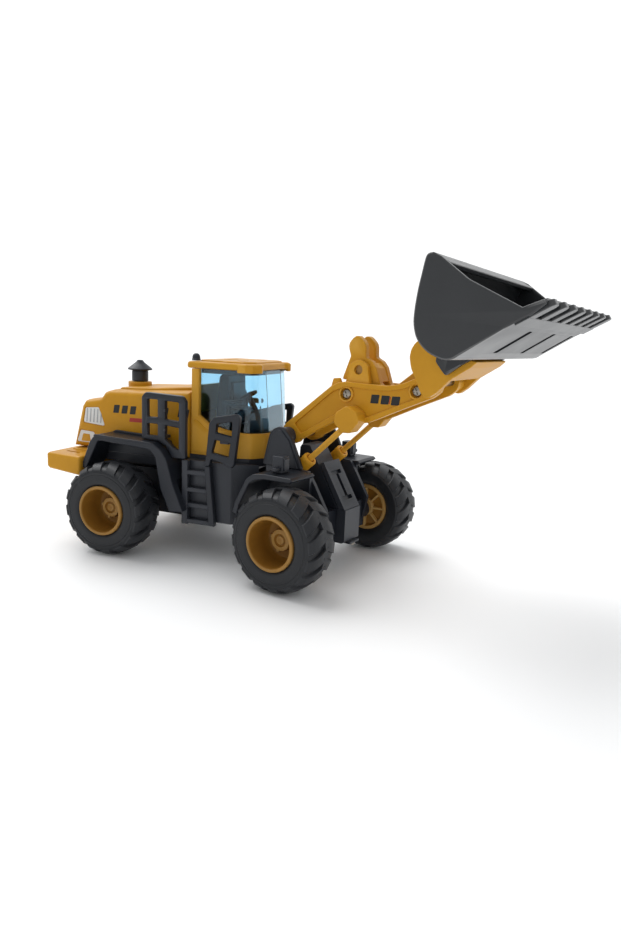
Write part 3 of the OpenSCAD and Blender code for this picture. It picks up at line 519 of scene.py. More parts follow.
def engine_hood():
    piece = Piece()
    pillow(piece, HOOD, HOOD_HALF,
           [(0, 2.1), (0.12, 1.45), (0.5, 0.85), (1.2, 0.42), (2.6, 0.14), (5.2, 0.0)], 1.0)
    pillow(piece, [(-74.9, 47, 0.3), (-74, 49.7, 1.2), (-61, 50.3, 5), (-45.3, 51.7, 0.3), (-45.3, 47, 0.3)],
           10.8, [(0, 0.5), (0.15, 0.24), (0.5, 0.06), (1, 0)], 0.5)
    piece.post(EXHAUST_X, 0,
               [(1.62, 46), (3.7, 46), (3.9, 50.2), (3.88, 50.9), (3.7, 51.08), (2, 51.08), (1.62, 50.9)])
    tools = []
    for s in (-1, 1):
        tool = Piece()
        tool.slab([(-85.1, 37.7), (-84.1, 43), (-78.7, 43.4), (-76.1, 36.9)],
                  s * HOOD_HALF - PRINT_DEPTH, s * HOOD_HALF + PRINT_DEPTH, 0.7, 0.05)
        tools.append(tool)
        tool = Piece()
        tool.slab([(-88, 31), (-86.2, 35.6), (-80.6, 35.2), (-79.4, 31)],
                  s * HOOD_HALF - PRINT_DEPTH, s * HOOD_HALF + PRINT_DEPTH, 0.7, 0.05)
        tools.append(tool)
    piece.done("engine_hood_shell", "rear_frame", ORANGE, nodes=["engine_hood"], cutters=tools)
    for s, side in ((-1, "right"), (1, "left")):
        face = s * (HOOD_HALF - PRINT_DEPTH)
        panel = Piece()
        lo, hi = sorted((face, face + s * 0.12))
        panel.slab([(-84.8, 37.9), (-83.9, 42.7), (-78.9, 43.1), (-76.6, 37.2)], lo, hi, 0.5, 0.02)
        panel.slab([(-87.6, 31.3), (-86, 35.2), (-80.9, 34.9), (-79.9, 31.3)], lo, hi, 0.5, 0.02)
        panel.done(f"vent_print_{side}", "rear_frame", WHITE)
        bars = Piece()
        lo, hi = sorted((face + s * 0.1, face + s * 0.2))
        for k in range(5):
            bx = -83.5 + k * 1.35
            bars.slab([(bx - 0.32, 38.1), (bx + 0.1, 42.5), (bx + 0.45, 42.5), (bx + 0.1, 38.1)],
                      lo, hi, 0.1, 0.02)
        bars.done(f"vent_bars_{side}", "rear_frame", GREY)
        frame_print = Piece()
        frame_print.slab([(-85.9, 31.6), (-85.1, 34.1), (-82.6, 34), (-82.2, 31.6)], lo, hi, 0.3, 0.02)
        frame_print.done(f"rear_print_{side}", "rear_frame", ORANGE)
        stripe = Piece()
        lo, hi = sorted((s * 15.5, s * 15.6))
        for k in range(3):
            a = -73.2 + k * 3.1
            stripe.slab([(a, 41.8), (a + 0.5, 44.4), (a + 2.6, 44.5), (a + 2.1, 41.9)], lo, hi, 0.2, 0.02)
        for a, b in ((-54.6, -53.2), (-49.6, -48), (-47.4, -45.9)):
            stripe.slab([(a, 42.3), (a + 0.5, 44.8), (b + 0.5, 44.9), (b, 42.4)], lo, hi, 0.2, 0.02)
        stripe.done(f"hood_stripe_{side}", "rear_frame", INK)
        dash = Piece()
        dash.slab([(-67.2, 39.4), (-66.9, 40.7), (-60.8, 40.8), (-61.1, 39.5)], lo, hi, 0.2, 0.02)
        dash.done(f"hood_dash_{side}", "rear_frame", RED)


def exhaust():
    piece = Piece()
    piece.post(EXHAUST_X, 0,
               [(0.0001, 46.9), (1.5, 46.9), (1.5, 51.2), (2.55, 51.25), (2.72, 51.5), (2.72, 54.3), (2.6, 54.6),
                (2.9, 54.8), (3.9, 54.95), (4.05, 55.15), (4.02, 55.4), (3.5, 55.85), (2.4, 56.7), (1.4, 57.5),
                (1.15, 57.85), (0.85, 58.2), (0.0001, 58.28)], 48)
    piece.done("exhaust_cap", "rear_frame", BLACK, nodes=["exhaust_stack"])


def rear_fender(side, mirrored):
    piece = Piece()
    piece.slab([(-79.2, 25, 0.3), (-75.6, 33.5, 2), (-73.6, 35.9, 2), (-53, 35.1, 2.2), (-50, 33.2, 2.5),
                (-48, 30.4, 4), (-45.9, 23.3, 4), (-42.3, 15, 0.4), (-47, 14.6, 0.4), (-50.2, 21.3, 4),
                (-52, 30.8, 2), (-53.9, 32.9, 1.4), (-72.4, 34.1, 1.2), (-77.2, 24.5, 0.3)],
               -24.5, -15.8, 0.5, 0.45)
    piece.slab([(-76.4, 29.4), (-73, 33.9), (-72.6, 36), (-71.5, 36.55), (-55.5, 35.9), (-51.5, 34.9),
                (-49.5, 29.4)], -16.9, -15.78, 0.5, 0.2)
    piece.slab([(-74.2, 35.3, 0.5), (-73.6, 35.95, 0.5), (-53.2, 35.15, 0.5), (-53.2, 34.6, 0.2),
                (-72, 35.2, 0.2)], -24.6, -23.9, 0.2, 0.15)
    tool = Piece()
    tool.box(-46.6, -40, -21.8, -15, 10, 24)
    piece.done(f"rear_fender_{side}_arch", "rear_frame", BLACK, nodes=[f"rear_fender_{side}"],
               mirrored=mirrored, cutters=[tool])


RAIL_OUT, RAIL_IN = -21.6, -19.8


def side_rail(side, mirrored):
    piece = Piece()
    windows = [[(-56.5, 42.5), (-56.5, 47.9), (-52.9, 47.9), (-52.9, 42.5)],
               [(-50.3, 42.2), (-50.3, 47.7), (-45.6, 47.5), (-45.6, 41.8)],
               [(-56.5, 36.9), (-56.5, 40.5), (-52.9, 40.5), (-52.9, 36.9)],
               [(-50.3, 36.2), (-50.3, 40.3), (-45.6, 39.9), (-45.6, 33), (-47.4, 33.8)]]
    piece.slab([(-58.5, 35.5), (-58.5, 48.5, 1.2), (-57.2, 49.95, 1.6), (-44.5, 49.5, 1.4), (-43.3, 48, 1.4),
                (-43.3, 30.7), (-47.8, 30.7), (-50.1, 34.1), (-52.6, 35.2)],
               RAIL_OUT, RAIL_IN, 0.5, 0.4, windows)
    for z in (38.9, 44.8):
        piece.rod(-50.3, z, 0.35, -21.9, -21.4, 0.1, 12)
    piece.box(-53.6, -51, -20, -16.95, 36, 37)
    piece.done(f"side_rail_{side}_frame", "rear_frame", BLACK, nodes=[f"side_rail_{side}"], mirrored=mirrored)


def ladder(side, mirrored):
    piece = Piece()
    piece.slab([(-44.5, 10.6), (-44.5, 30.5), (-42.4, 30.5), (-42.4, 10.6)], RAIL_OUT, RAIL_IN, 0.4, 0.35)
    piece.slab([(-33.1, 11), (-35, 29.3), (-36.9, 29.3), (-35.2, 11)], RAIL_OUT, RAIL_IN, 0.4, 0.35)
    for z in (11, 16, 20.8, 26.1):
        piece.box(-42.8, -34.6 - (z - 11) * 0.1, -21.5, -19.4, z, z + 1.4, 0.3, 0.3)
    piece.done(f"ladder_{side}_steps", "rear_frame", BLACK, nodes=[f"ladder_{side}"], mirrored=mirrored)


def hand_rail(side, mirrored):
    piece = Piece()
    piece.slab([(-37, 29.4), (-36.3, 32), (-35.4, 42.2, 1.4), (-34, 44.1, 1.6), (-26.6, 45.6, 1),
                (-25.4, 44.7, 1), (-27, 30.6), (-28, 29.5), (-30.8, 30.8), (-34.6, 31.6), (-35.2, 29.4)],
               RAIL_OUT, RAIL_IN, 0.4, 0.35,
               [[(-33.2, 39.6), (-32.9, 42.2), (-27.9, 43.2), (-28, 38.8)],
                [(-34.4, 33.6), (-33.4, 37.5), (-28.4, 36.8), (-28.9, 32.7)]])
    piece.box(-32.6, -29.6, -20, -15.5, 36.2, 37.2)
    piece.done(f"hand_rail_{side}_frame", "rear_frame", BLACK, nodes=[f"hand_rail_{side}"], mirrored=mirrored)


counterweight()
engine_hood()
exhaust()
for side, mirrored in SIDES:
    rear_fender(side, mirrored)
    side_rail(side, mirrored)
    ladder(side, mirrored)
    hand_rail(side, mirrored)
    keep(f"side_tank_{side}", BLACK, 0.2)


# ---------------------------------------------------------------- cab
def wall(piece, outer, inner, bottom, tops):
    """A closed wall between two plans, with its own top height at each point."""
    n = len(outer)
    verts = ([(p.x, p.y, bottom) for p in outer] + [(p.x, p.y, t) for p, t in zip(outer, tops)]
             + [(p.x, p.y, t) for p, t in zip(inner, tops)] + [(p.x, p.y, bottom) for p in inner])
    faces = []
    for band in range(4):
        for i in range(n):
            a = band * n + i
            b = band * n + (i + 1) % n
            c = ((band + 1) % 4) * n
            faces.append((a, b, c + (i + 1) % n, c + i))
    piece.shell(verts, faces)


def dense(points, step=1.0):
    out = []
    for a, b in zip(points, points[1:] + points[:1]):
        count = max(1, int((b - a).length / step))
        out += [a.lerp(b, k / count) for k in range(count)]
    return out


CAB_PLAN = [(-45, -15.4, 0.6), (-29, -15.4, 4), (-25.2, -14.1, 3), (-22.2, -10.3, 4), (-20.9, -6, 4),
            (-20.9, 6, 4), (-22.2, 10.3, 4), (-25.2, 14.1, 3), (-29, 15.4, 4), (-45, 15.4, 0.6)]
CAB_FLOOR = 31.4
CAB_TOP = [(-45, 44), (-42.4, 43.6), (-38.7, 40.9), (-33, 39.6), (-27.6, 39), (-20.9, 38.8)]


def cab_top(x):
    for (x0, z0), (x1, z1) in zip(CAB_TOP, CAB_TOP[1:]):
        if x <= x1:
            return z0 + (z1 - z0) * (x - x0) / (x1 - x0)
    return CAB_TOP[-1][1]


def cab_body():
    piece = Piece()
    outer = dense(rounded(CAB_PLAN, 1, 4))
    for step, drop in ((0.0, 0.35), (0.3, 0.0)):
        plan = inset(outer, step) if step else outer
        wall(piece, plan, inset(outer, 1.3), CAB_FLOOR, [cab_top(p.x) - drop for p in plan])
    for s in (-1, 1):
        a, b = sorted((s * 15.38, s * 13.2))
        piece.box(-44.98, -42.4, a, b, 41, 57.5, 0.5, 0.1)
        a, b = sorted((s * 15.3, s * 15.62))
        piece.slab([(-44.2, 32.4), (-44.2, 42.2), (-42.6, 41.9), (-39.6, 39.6), (-38.2, 39.2), (-38.2, 32.4)],
                   a, b, 0.6, 0.12)
    piece.box(-44.98, -43.8, -13.4, 13.4, 50.6, 52.4, 0.2, 0.1)
    piece.done("cab_shell", "rear_frame", ORANGE, nodes=["cab_body"])
    floor = Piece()
    floor.plan([(-44, -14), (-29, -14), (-23.6, -9), (-22.6, 0), (-23.6, 9), (-29, 14), (-44, 14)],
               31.6, 33.3, 0.6, 0.1)
    floor.done("cab_floor", "rear_frame", BLACK)


ROOF_PLAN = [(-46.7, -15.4, 1.2), (-27, -15.4, 1.2), (-25, -14.6, 1.4), (-23.4, -11.4, 1), (-23.6, -10, 0.6),
             (-24.4, -8.8, 2), (-24.2, 0, 20), (-24.4, 8.8, 2), (-23.6, 10, 0.6), (-23.4, 11.4, 1),
             (-25, 14.6, 1.4), (-27, 15.4, 1.2), (-46.7, 15.4, 1.2)]


def cab_roof():
    piece = Piece()
    piece.plan(ROOF_PLAN, 0, 0, 1, 0, [(57.6, 0.6), (57.68, 0.3), (57.9, 0.05), (58.3, 0), (58.9, 0.03),
                                       (59.3, 0.2), (59.55, 0.5), (59.68, 0.9)])
    middle = [(-44, -12.4, 1.4), (-36, -12.4, 0.8), (-34.4, -13.2, 0.8), (-28.6, -13.2, 1.2),
              (-25.9, -9.8, 1.2), (-25.9, 9.8, 1.2), (-28.6, 13.2, 1.2), (-34.4, 13.2, 0.8), (-36, 12.4, 0.8),
              (-44, 12.4, 1.4)]
    piece.plan(middle, 0, 0, 1, 0, [(59.5, 0), (59.95, 0.05), (60.12, 0.25), (60.2, 0.6)])
    piece.box(-40.6, -38.2, -3, 3, 60, 60.32, 0.5, 0.1)
    for s in (-1, 1):
        a, b = sorted((s * 5.2, s * 8.8))
        piece.box(-33, -30.6, a, b, 60, 60.32, 0.5, 0.1)
        block = [(-29.8, s * 15.4), (-27, s * 15.4), (-25, s * 14.6), (-23.4, s * 11.4), (-23.6, s * 10),
                 (-24.7, s * 10.2), (-26, s * 13.3), (-29.8, s * 14)]
        piece.plan(block, 56.9, 59.4, 0.5, 0.35)
    piece.done("cab_roof_shell", "rear_frame", ORANGE, nodes=["cab_roof"])


def cab_windows():
    low = [(-43.7, -14.1, 0.5), (-29.4, -14.1, 3), (-26.2, -12.9, 3), (-23.5, -9.5, 3), (-22.5, -5.6, 3),
           (-22.5, 5.6, 3), (-23.5, 9.5, 3), (-26.2, 12.9, 3), (-29.4, 14.1, 3), (-43.7, 14.1, 0.5)]
    high = [(-43.7, -14.1, 0.5), (-29.4, -14.1, 3), (-27, -13.2, 3), (-25, -10, 3), (-24.6, -5.6, 3),
            (-24.6, 5.6, 3), (-25, 10, 3), (-27, 13.2, 3), (-29.4, 14.1, 3), (-43.7, 14.1, 0.5)]
    bottom, top = rounded(low, 1, 5), rounded(high, 1, 5)
    piece = Piece()
    n = len(bottom)
    sill, head, thick = 33.5, 57.45, 0.6
    rings = ((bottom, 0, sill), (top, 0, head), (top, thick, head), (bottom, thick, sill))
    verts = []
    for ring, amount, z in rings:
        verts += [(p.x, p.y, z) for p in (inset(ring, amount) if amount else ring)]
    faces = []
    for band in range(4):
        for i in range(n):
            c = ((band + 1) % 4) * n
            faces.append((band * n + i, band * n + (i + 1) % n, c + (i + 1) % n, c + i))
    piece.shell(verts, faces)
    piece.done("cab_glass", "rear_frame", WINDOW, nodes=["cab_windows"])


def cab_inside():
    seat = Piece()
    seat.slab([(-41.2, 33.6), (-41.4, 45), (-40.4, 55, 1.2), (-38.6, 56.5, 1.2), (-37, 55.4, 1),
               (-36.6, 46.4, 1), (-37, 33.6)], -6, 6, 0.6, 0.7)
    seat.slab([(-37.4, 40.6), (-37.4, 45.4), (-32.2, 44.9, 1.2), (-31.4, 43.4, 1), (-31.8, 41, 1), (-34, 40.2)],
              -6, 6, 0.6, 0.8)
    seat.slab([(-38, 33.6), (-38, 40.6), (-34, 40.4), (-34, 33.6)], -4.6, 4.6, 0.4, 0.2)
    seat.slab([(-36.8, 47.6, 0.4), (-36.9, 53.4, 0.6), (-36.2, 53.2, 0.6), (-35.9, 47.6, 0.4)],
              -4.2, 4.2, 0.4, 0.4)
    for s in (-1, 1):
        a, b = sorted((s * 6.1, s * 8.3))
        seat.slab([(-38.5, 46, 0.5), (-38.5, 47.8, 0.8), (-31.5, 47.7, 0.8), (-31.5, 46.2, 0.5)],
                  a, b, 0.5, 0.4)
        seat.slab([(-38.5, 40), (-38.5, 46.4), (-36.5, 46.4), (-36.5, 40)], a, b, 0.4, 0.3)
    seat.done("seat_moulding", "rear_frame", BLACK, nodes=["driver_seat"])
    keep("dash_console", BLACK, 0.5)
    keep("steering_wheel", BLACK, 0)
    liner = Piece()
    plan = rounded([(-43, -13.3), (-29.4, -13.3), (-26.6, -12), (-25.6, -8.8), (-25.6, 8.8), (-26.6, 12),
                    (-29.4, 13.3), (-43, 13.3)], 1.4, 4)
    wall(liner, plan, inset(plan, 0.7), 56.2, [57.5] * len(plan))
    liner.done("cab_headliner", "rear_frame", BLACK)
    beacon = Piece()
    beacon.post(-44.7, -12.9, [(0.0001, 59.85), (1.33, 59.85), (1.33, 60.3), (1.22, 60.42), (1.2, 60.9),
                               (1.05, 61.4), (0.78, 61.8), (0.4, 61.98), (0.0001, 62)], 32)
    beacon.done("beacon_dome", "rear_frame", BLACK, nodes=["roof_beacon"])


cab_body()
cab_roof()
cab_windows()
cab_inside()
for node in ("rear_chassis", "rear_belly_plate"):
    keep(node, BLACK, 0.25)
for node in ("hinge_pin", "rear_screws", "rear_axle", "front_axle", "front_screws", "boom_pin", "coupler_pin"):
    keep(node, STEEL, 0)


# ---------------------------------------------------------------- front frame
def cowl(side, mirrored):
    piece = Piece()
    piece.slab([(-17.2, 30.9, 0.3), (-15.9, 36.7, 5), (-15.1, 40, 2), (-13.9, 41.6, 2), (-12, 42.5, 2),
                (-10.2, 42.5, 2), (-7.1, 39.2, 3), (-4.8, 34.3, 5), (-3.4, 30.9, 0.3)], -12.9, -11.6, 0.5, 0.3)
    piece.slab([(-16.3, 30.9, 0.3), (-15.1, 36.5, 5), (-14.3, 39.5, 2), (-13.4, 40.9, 2), (-12, 41.7, 2),
                (-10.6, 41.6, 2), (-7.8, 38.7, 3), (-5.7, 34.1, 5), (-4.4, 30.9, 0.3)], -13.3, -12.6, 0.5, 0.25)
    piece.slab([(-17.2, 30.9), (-15.9, 36.7), (-15.5, 38), (-16.1, 38), (-16.5, 36.7), (-17.8, 30.9)],
               -11.9, -8, 0.15, 0.1)
    piece.rod(-11.8, 39.5, 2.5, -11.8, -7.3, 0.2)
    piece.done(f"tower_cowl_{side}_cover", "front_frame", BLACK, FRONT, [f"tower_cowl_{side}"], mirrored)


def front_fender(side, mirrored):
    piece = Piece()
    piece.slab([(-19, 18.1, 0.3), (-18.2, 21.2, 3), (-14.3, 28.7, 3), (-11.9, 30.3, 2.5), (-8.4, 30.75, 2),
                (0.6, 30.75, 0.4), (1.4, 30.1, 0.3), (0.6, 29.3, 0.3), (-8, 29.3, 2), (-11.3, 28.7, 2),
                (-13.1, 27.5, 2), (-16.6, 20.6, 3), (-17.4, 17.7, 0.3)], -24.5, -13, 0.5, 0.35)
    piece.slab([(-12, 27.6), (-9, 29.6), (0.4, 29.9), (0.4, 24), (-11, 23)], -14.2, -12.98, 0.4, 0.15)
    tool = Piece()
    tool.box(-20, -15, -16.2, -12, 17, 27)
    piece.done(f"front_fender_{side}_arch", "front_frame", BLACK, FRONT, [f"front_fender_{side}"], mirrored,
               cutters=[tool])
    lamp = Piece()
    lamp.box(-8, -4.4, -21, -17.6, 30.8, 35.55, 0.4, 0.3)
    lamp.box(-4.6, -4.02, -20.5, -18.1, 31.6, 35, 0.3, 0.15)
    lamp.box(-6.6, -5, -23.2, -20.8, 31.6, 32.6, 0.25, 0.2)
    lamp.done(f"headlamp_{side}_box", "front_frame", BLACK, FRONT, [f"headlamp_{side}"], mirrored)


for side, mirrored in SIDES:
    cowl(side, mirrored)
    front_fender(side, mirrored)
keep("front_chassis", BLACK, 0.25)
keep("front_belly_plate", BLACK, 0.2)
keep("tower_shield", BLACK, 0.12)

# ---------------------------------------------------------------- boom
BOOM = [(-14.1, 42, 0.5), (-13.3, 43, 0.6), (1.5, 55, 4), (3.8, 56.2, 3), (6.3, 56.6, 4), (12.6, 56.4, 8),
        (18.6, 56.3, 8), (23, 57.1, 8), (26.9, 58.8, 8), (29.6, 60.3, 4), (31.6, 61.2, 1.4), (33.2, 60.8, 1.4),
        (34.8, 58.1, 2), (34, 55.7, 2), (32, 54.1, 2), (30.2, 53.3, 3), (23.5, 50.3, 8), (13.9, 45.8, 1.5),
        (12.1, 45.5, 2), (5.2, 46.5, 3), (-1.2, 42.7, 6), (-8.3, 38.5, 2), (-8.9, 37.7, 2), (-11.5, 36.6, 2.4),
        (-13.5, 37.2, 1.6), (-14.5, 38.8, 1.6)]
WEB = [(-10.3, 43.2, 0.4), (2, 53.5, 3), (6.3, 55.2, 4), (12.6, 55, 8), (18.8, 54.9, 8), (23.5, 55.8, 8),
       (28.2, 57.8, 0.6), (30.2, 54.8, 0.6), (22.9, 51.6, 8), (13.7, 47.4, 2), (12.3, 47.2, 2), (4.8, 48.1, 3),
       (-1.9, 44.1, 6), (-8.1, 40.4, 0.6)]
BOOM_OUT, BOOM_IN = -7, -4.9
BOOM_SCREWS = ((6.3, 53.1), (27.4, 55.5))
# the pivots of the linkage, as (x, z)
TOWER_PIN = (-11.8, 39.5)
ROCKER_PIN = (9.4, 60)
LINK_HEEL = (17, 52.4)
LINK_EYE = (31.2, 64.2)
BOOM_TIP = (32, 58)
BLOCK = [(5.4, 45.3, 0.8), (5.8, 48.2, 1.6), (9.2, 50.4, 1.4), (12.5, 48.7, 2), (13.1, 46.2, 1.4),
         (10.5, 42.9, 0.8), (8, 42.8, 0.8)]


def boom_half(side, mirrored):
    piece = Piece()
    piece.slab(BOOM, BOOM_OUT, BOOM_IN, 0.5, 0.28, [WEB])
    piece.slab(BOOM, -6.25, -4.92, 0.5, 0.1)
    piece.slab([(5.2, 54.6, 0.2), (6.4, 60.4, 0.2), (6.6, 61.4, 2.4), (9.4, 63.1, 2.8), (12.2, 61.4, 2.4),
                (12.4, 60.4, 0.2), (13.6, 54.6, 0.2)], -5.9, -4.5, 0.5, 0.15)
    piece.slab([(0.6, 53.6), (1.6, 57.2, 0.5), (3.6, 57.4, 0.5), (4.4, 55.4)], -5.9, -4.95, 0.3, 0.12)
    piece.slab(BLOCK, -11.2, -6.2, 0.5, 0.35)
    for x, z in BOOM_SCREWS:
        piece.rod(x, z, 2.3, -6.75, -5, 0.15)
    tools = []
    for x, z, r, a, b in ((*ROCKER_PIN, 1.32, -7, -4), (*TOWER_PIN, 1.36, -9, -4), (*BOOM_TIP, 1.26, -9, -4),
                          (*BOOM_SCREWS[0], 1.75, -9, -5.8), (*BOOM_SCREWS[1], 1.75, -9, -5.8)):
        tool = Piece()
        tool.rod(x, z, r, a, b, 0.02, 28)
        tools.append(tool)
    tool = Piece()
    tool.slab([(6.4, 45.2, 0.3), (6.3, 46.2, 1.5), (8.4, 47, 1.8), (10.5, 46.2, 1.5), (10.6, 44.2, 0.3),
               (9.6, 40, 0), (2, 40, 0)], -10.5, -8.1, 0.3, 0.05)
    tools.append(tool)
    if mirrored:
        for x, z in BOOM_SCREWS:
            piece.rod(x, z, 1.5, -5, 4.8, 0.05)
        piece.rod(-1.4, 47.1, 1.6, -5, 4.8, 0.05)
    piece.done(f"boom_{side}_beam", "boom", ORANGE, FRONT, [f"boom_{side}"], mirrored, cutters=tools)
    stripe = Piece()
    for a, b in ((13.9, 16.3), (17, 19.4), (20.1, 22.5)):
        stripe.slab([(a, 51.2), (a + 0.3, 53.6), (b + 0.3, 53.7), (b, 51.3)], -6.32, -6.22, 0.2, 0.02)
    stripe.done(f"boom_stripe_{side}", "boom", INK, FRONT, mirrored=mirrored)
    accent = Piece()
    accent.slab([(19.55, 51.5), (19.75, 53.4), (20, 53.4), (19.8, 51.5)], -6.33, -6.23, 0.05, 0.02)
    accent.done(f"boom_accent_{side}", "boom", RED, FRONT, mirrored=mirrored)


def boom_screws():
    piece = Piece()
    tools = []
    for x, z in BOOM_SCREWS:
        piece.lathe([(0.0001, -5.84), (1.4, -5.84), (1.4, -6.1), (1.2, -6.35), (0.7, -6.48), (0.0001, -6.5)],
                    lambda a, b, d, x=x, z=z: (x + a, d, z + b), 32)
        piece.rod(x, z, 0.68, -5.9, 3.5, 0.1, 20)
        for turn in (0.4, 0.4 + math.pi / 2):
            c, s = math.cos(turn), math.sin(turn)
            tool = Piece()
            tool.slab([(x + u * c - v * s, z + u * s + v * c) for u, v in
                       ((-0.95, -0.17), (0.95, -0.17), (0.95, 0.17), (-0.95, 0.17))], -6.7, -6.08, 0.05, 0.02)
            tools.append(tool)
    piece.done("boom_screw_heads", "boom", STEEL, FRONT, ["boom_screws"], cutters=tools)


for side, mirrored in SIDES:
    boom_half(side, mirrored)
boom_screws()


# ---------------------------------------------------------------- bucket linkage
def rocker():
    cheek = [(4.7, 66.9, 2.6), (7.6, 69.9, 2.8), (10.4, 67, 2.6), (10.6, 63.4, 0.8), (12.6, 62.4, 1),
             (13.9, 60.8, 1), (15.4, 56.6, 0.6), (19, 53.2, 1.2), (18.8, 51.4, 1.2), (17, 50.4, 1.4),
             (15, 51.2, 1), (10.4, 56.4, 2), (5.2, 56.9, 0.4), (3.4, 57, 0.5), (5.8, 63.6, 1.2)]
    piece = Piece()
    for s in (-1, 1):
        a, b = sorted((s * 4.2, s * 1.9))
        piece.slab(cheek, a, b, 0.5, 0.3)
    piece.slab([(4.6, 57.2), (6.4, 61.9, 0.3), (12.2, 61.9, 0.8), (13.7, 60.6, 0.8), (15.2, 56.8),
                (10.6, 56.6)], -2, 2, 0.4, 0.1)
    tools = []
    for x, z, r in ((*ROCKER_PIN, 1.36), (*LINK_HEEL, 0.9)):
        tool = Piece()
        tool.rod(x, z, r, -5, 5, 0.02, 28)
        tools.append(tool)
    piece.done("rocker_lever", "rocker", ORANGE, FRONT, ["rocker"], cutters=tools)


def tilt_link():
    piece = Piece()
    piece.slab([(15.5, 52.2, 1.3), (16.2, 53.8, 1.2), (30.4, 65.4, 1), (31, 66.2, 1.8), (33.1, 65, 1.8),
                (33, 63, 1.8), (31, 62.1, 1), (18, 51.4, 1.2), (16.6, 50.9, 1.3)], -1.6, 1.6, 0.6, 0.3)
    piece.rod(*LINK_HEEL, 0.84, -3.9, 3.9)
    tool = Piece()
    tool.rod(*LINK_EYE, 1.45, -2, 2, 0.02, 28)
    piece.done("tilt_link_bar", "tilt_link", ORANGE, FRONT, ["tilt_link"], cutters=[tool])


def coupler():
    cheek = [(27.1, 64.4, 3), (27.4, 66.4, 3), (28.5, 68.2, 3), (30.9, 69.6, 3), (34.4, 70, 3), (37, 69.6, 2),
             (38.6, 67.4, 2), (40.4, 65.8, 2), (43, 64.6, 0.6), (44.8, 64.1, 0.3), (43.2, 62.6, 0.6),
             (38.2, 59.3, 2), (35, 56, 2), (33.1, 54.6, 1.2), (31.5, 54.7, 1.2), (30.5, 56.1, 2),
             (29.1, 59.1, 5), (27.7, 61.6, 5)]
    piece = Piece()
    tools = []
    for s in (-1, 1):
        a, b = sorted((s * 12, s * 9.6))
        piece.slab(cheek, a, b, 0.5, 0.3)
        a, b = sorted((s * 9.8, s * 7.3))
        piece.rod(*BOOM_TIP, 2.6, a, b, 0.2)
    piece.slab([(37.8, 59), (38.2, 59.3), (43.2, 62.6), (44.7, 64.1), (43, 64.6), (42, 63.7), (37.4, 60.4)],
               -9.8, 9.8, 0.3, 0.1)
    piece.slab([(34.4, 69.9), (37, 69.5), (38.5, 67.4), (37, 66.8), (35.6, 68.2), (34.2, 68.6)],
               -9.8, 9.8, 0.3, 0.1)
    for x, z, r in ((*BOOM_TIP, 1.2), (*LINK_EYE, 0.8)):
        tool = Piece()
        tool.rod(x, z, r, -11.2, 11.2, 0.02, 28)
        tools.append(tool)
    piece.done("coupler_carrier", "bucket", ORANGE, FRONT, ["coupler"], cutters=tools)


FLOOR_LEAN = math.radians(33.1)
FLOOR_SPOT = (49.2, 66.4)
LIP_LEAN = math.radians(30)
LIP_SPOT = (58.9, 72.9)
TEETH = 8


def along(spot, lean, y=0.0):
    """Maps (u, v, h) to a plane that leans up by lean from spot and is moved to y."""
    c, s = math.cos(lean), math.sin(lean)
    return lambda u, v, h: (spot[0] + u * c - h * s, y + v, spot[1] + u * s + h * c)


def bucket():
    outer = spline([(40.9, 86.85), (39.9, 86.7), (39.2, 85.8), (38.5, 82.4), (37.9, 79.1), (37.45, 75),
                    (37.5, 71.8), (38.6, 68.7), (41.2, 66.2), (44.6, 64.85), (46.7, 65), (47.9, 65.7)], 4)
    outer += [Vector((57.1, 71.7)), Vector((61, 73.9)), Vector((61.6, 74.9)), Vector((65, 77))]
    inner = [Vector((64.9, 77.7)), Vector((60.3, 75.9))]
    inner += spline([(56.6, 73.5), (46.4, 66.8), (44.9, 66.4), (42.2, 67.4), (40, 69.7), (39.1, 72),
                     (38.95, 74.4), (39.3, 78.9), (40, 82), (41.2, 84.6), (42, 86.15)], 4)
    piece = Piece()
    piece.stack(outer + inner, soft_levels(-34.1, 34.1, 0.25), lambda u, v, h: (u, h, v))
    plate = [(p.x, p.y, 0) for p in outer[:-4]]
    plate += [(57.1, 71.65, 0.5), (62.4, 74.55, 0.3), (64.9, 76.5, 0.3), (65, 77.6, 0.4), (60.3, 75.85, 0.8),
              (48.8, 81.4, 6), (42.5, 86.1, 1)]
    for s in (-1, 1):
        a, b = sorted((s * 34.2, s * 32.6))
        piece.slab(plate, a, b, 0.4, 0.42)
        a, b = sorted((s * 13.8, s * 12.2))
        piece.slab([(38.2, 70), (35.6, 66.6, 1), (34.8, 63.8, 1.4), (37.7, 60.4, 0.8), (41.4, 63.2),
                    (45.2, 65.4), (41, 67)], a, b, 0.5, 0.25)
    piece.slab([(40.6, 85), (42, 86.2), (44.2, 84.9), (43.6, 83.9), (41.6, 84.6)], -32.8, 32.8, 0.25, 0.1)
    tools = []
    for k in range(TEETH):
        y = -31.2 + k * 62.4 / (TEETH - 1)
        piece.stack([(2.6, -2.1, 0.3), (8.4, -2.1, 1.5), (8.4, 2.1, 1.5), (2.6, 2.1, 0.3)],
                    soft_levels(-0.6, 0.75, 0.2), along(LIP_SPOT, LIP_LEAN, y), (), 1, 5)
    piece.stack([(-0.1, -33.7, 0.3), (3, -33.7, 0.3), (3, 33.7, 0.3), (-0.1, 33.7, 0.3)],
                soft_levels(-0.65, 0.4, 0.15), along(LIP_SPOT, LIP_LEAN), (), 0.4, 3)
    for y in (-13, 9.5, 30.5):
        tool = Piece()
        tool.stack([(0, -1.5), (9.4, -1.5), (9.4, 1.5), (0, 1.5)], [(-1, 0), (0.6, 0)],
                   along(FLOOR_SPOT, FLOOR_LEAN, y), (), 0.5)
        tools.append(tool)
    piece.done("bucket_shell", "bucket", BUCKET, FRONT, ["bucket"], cutters=tools)


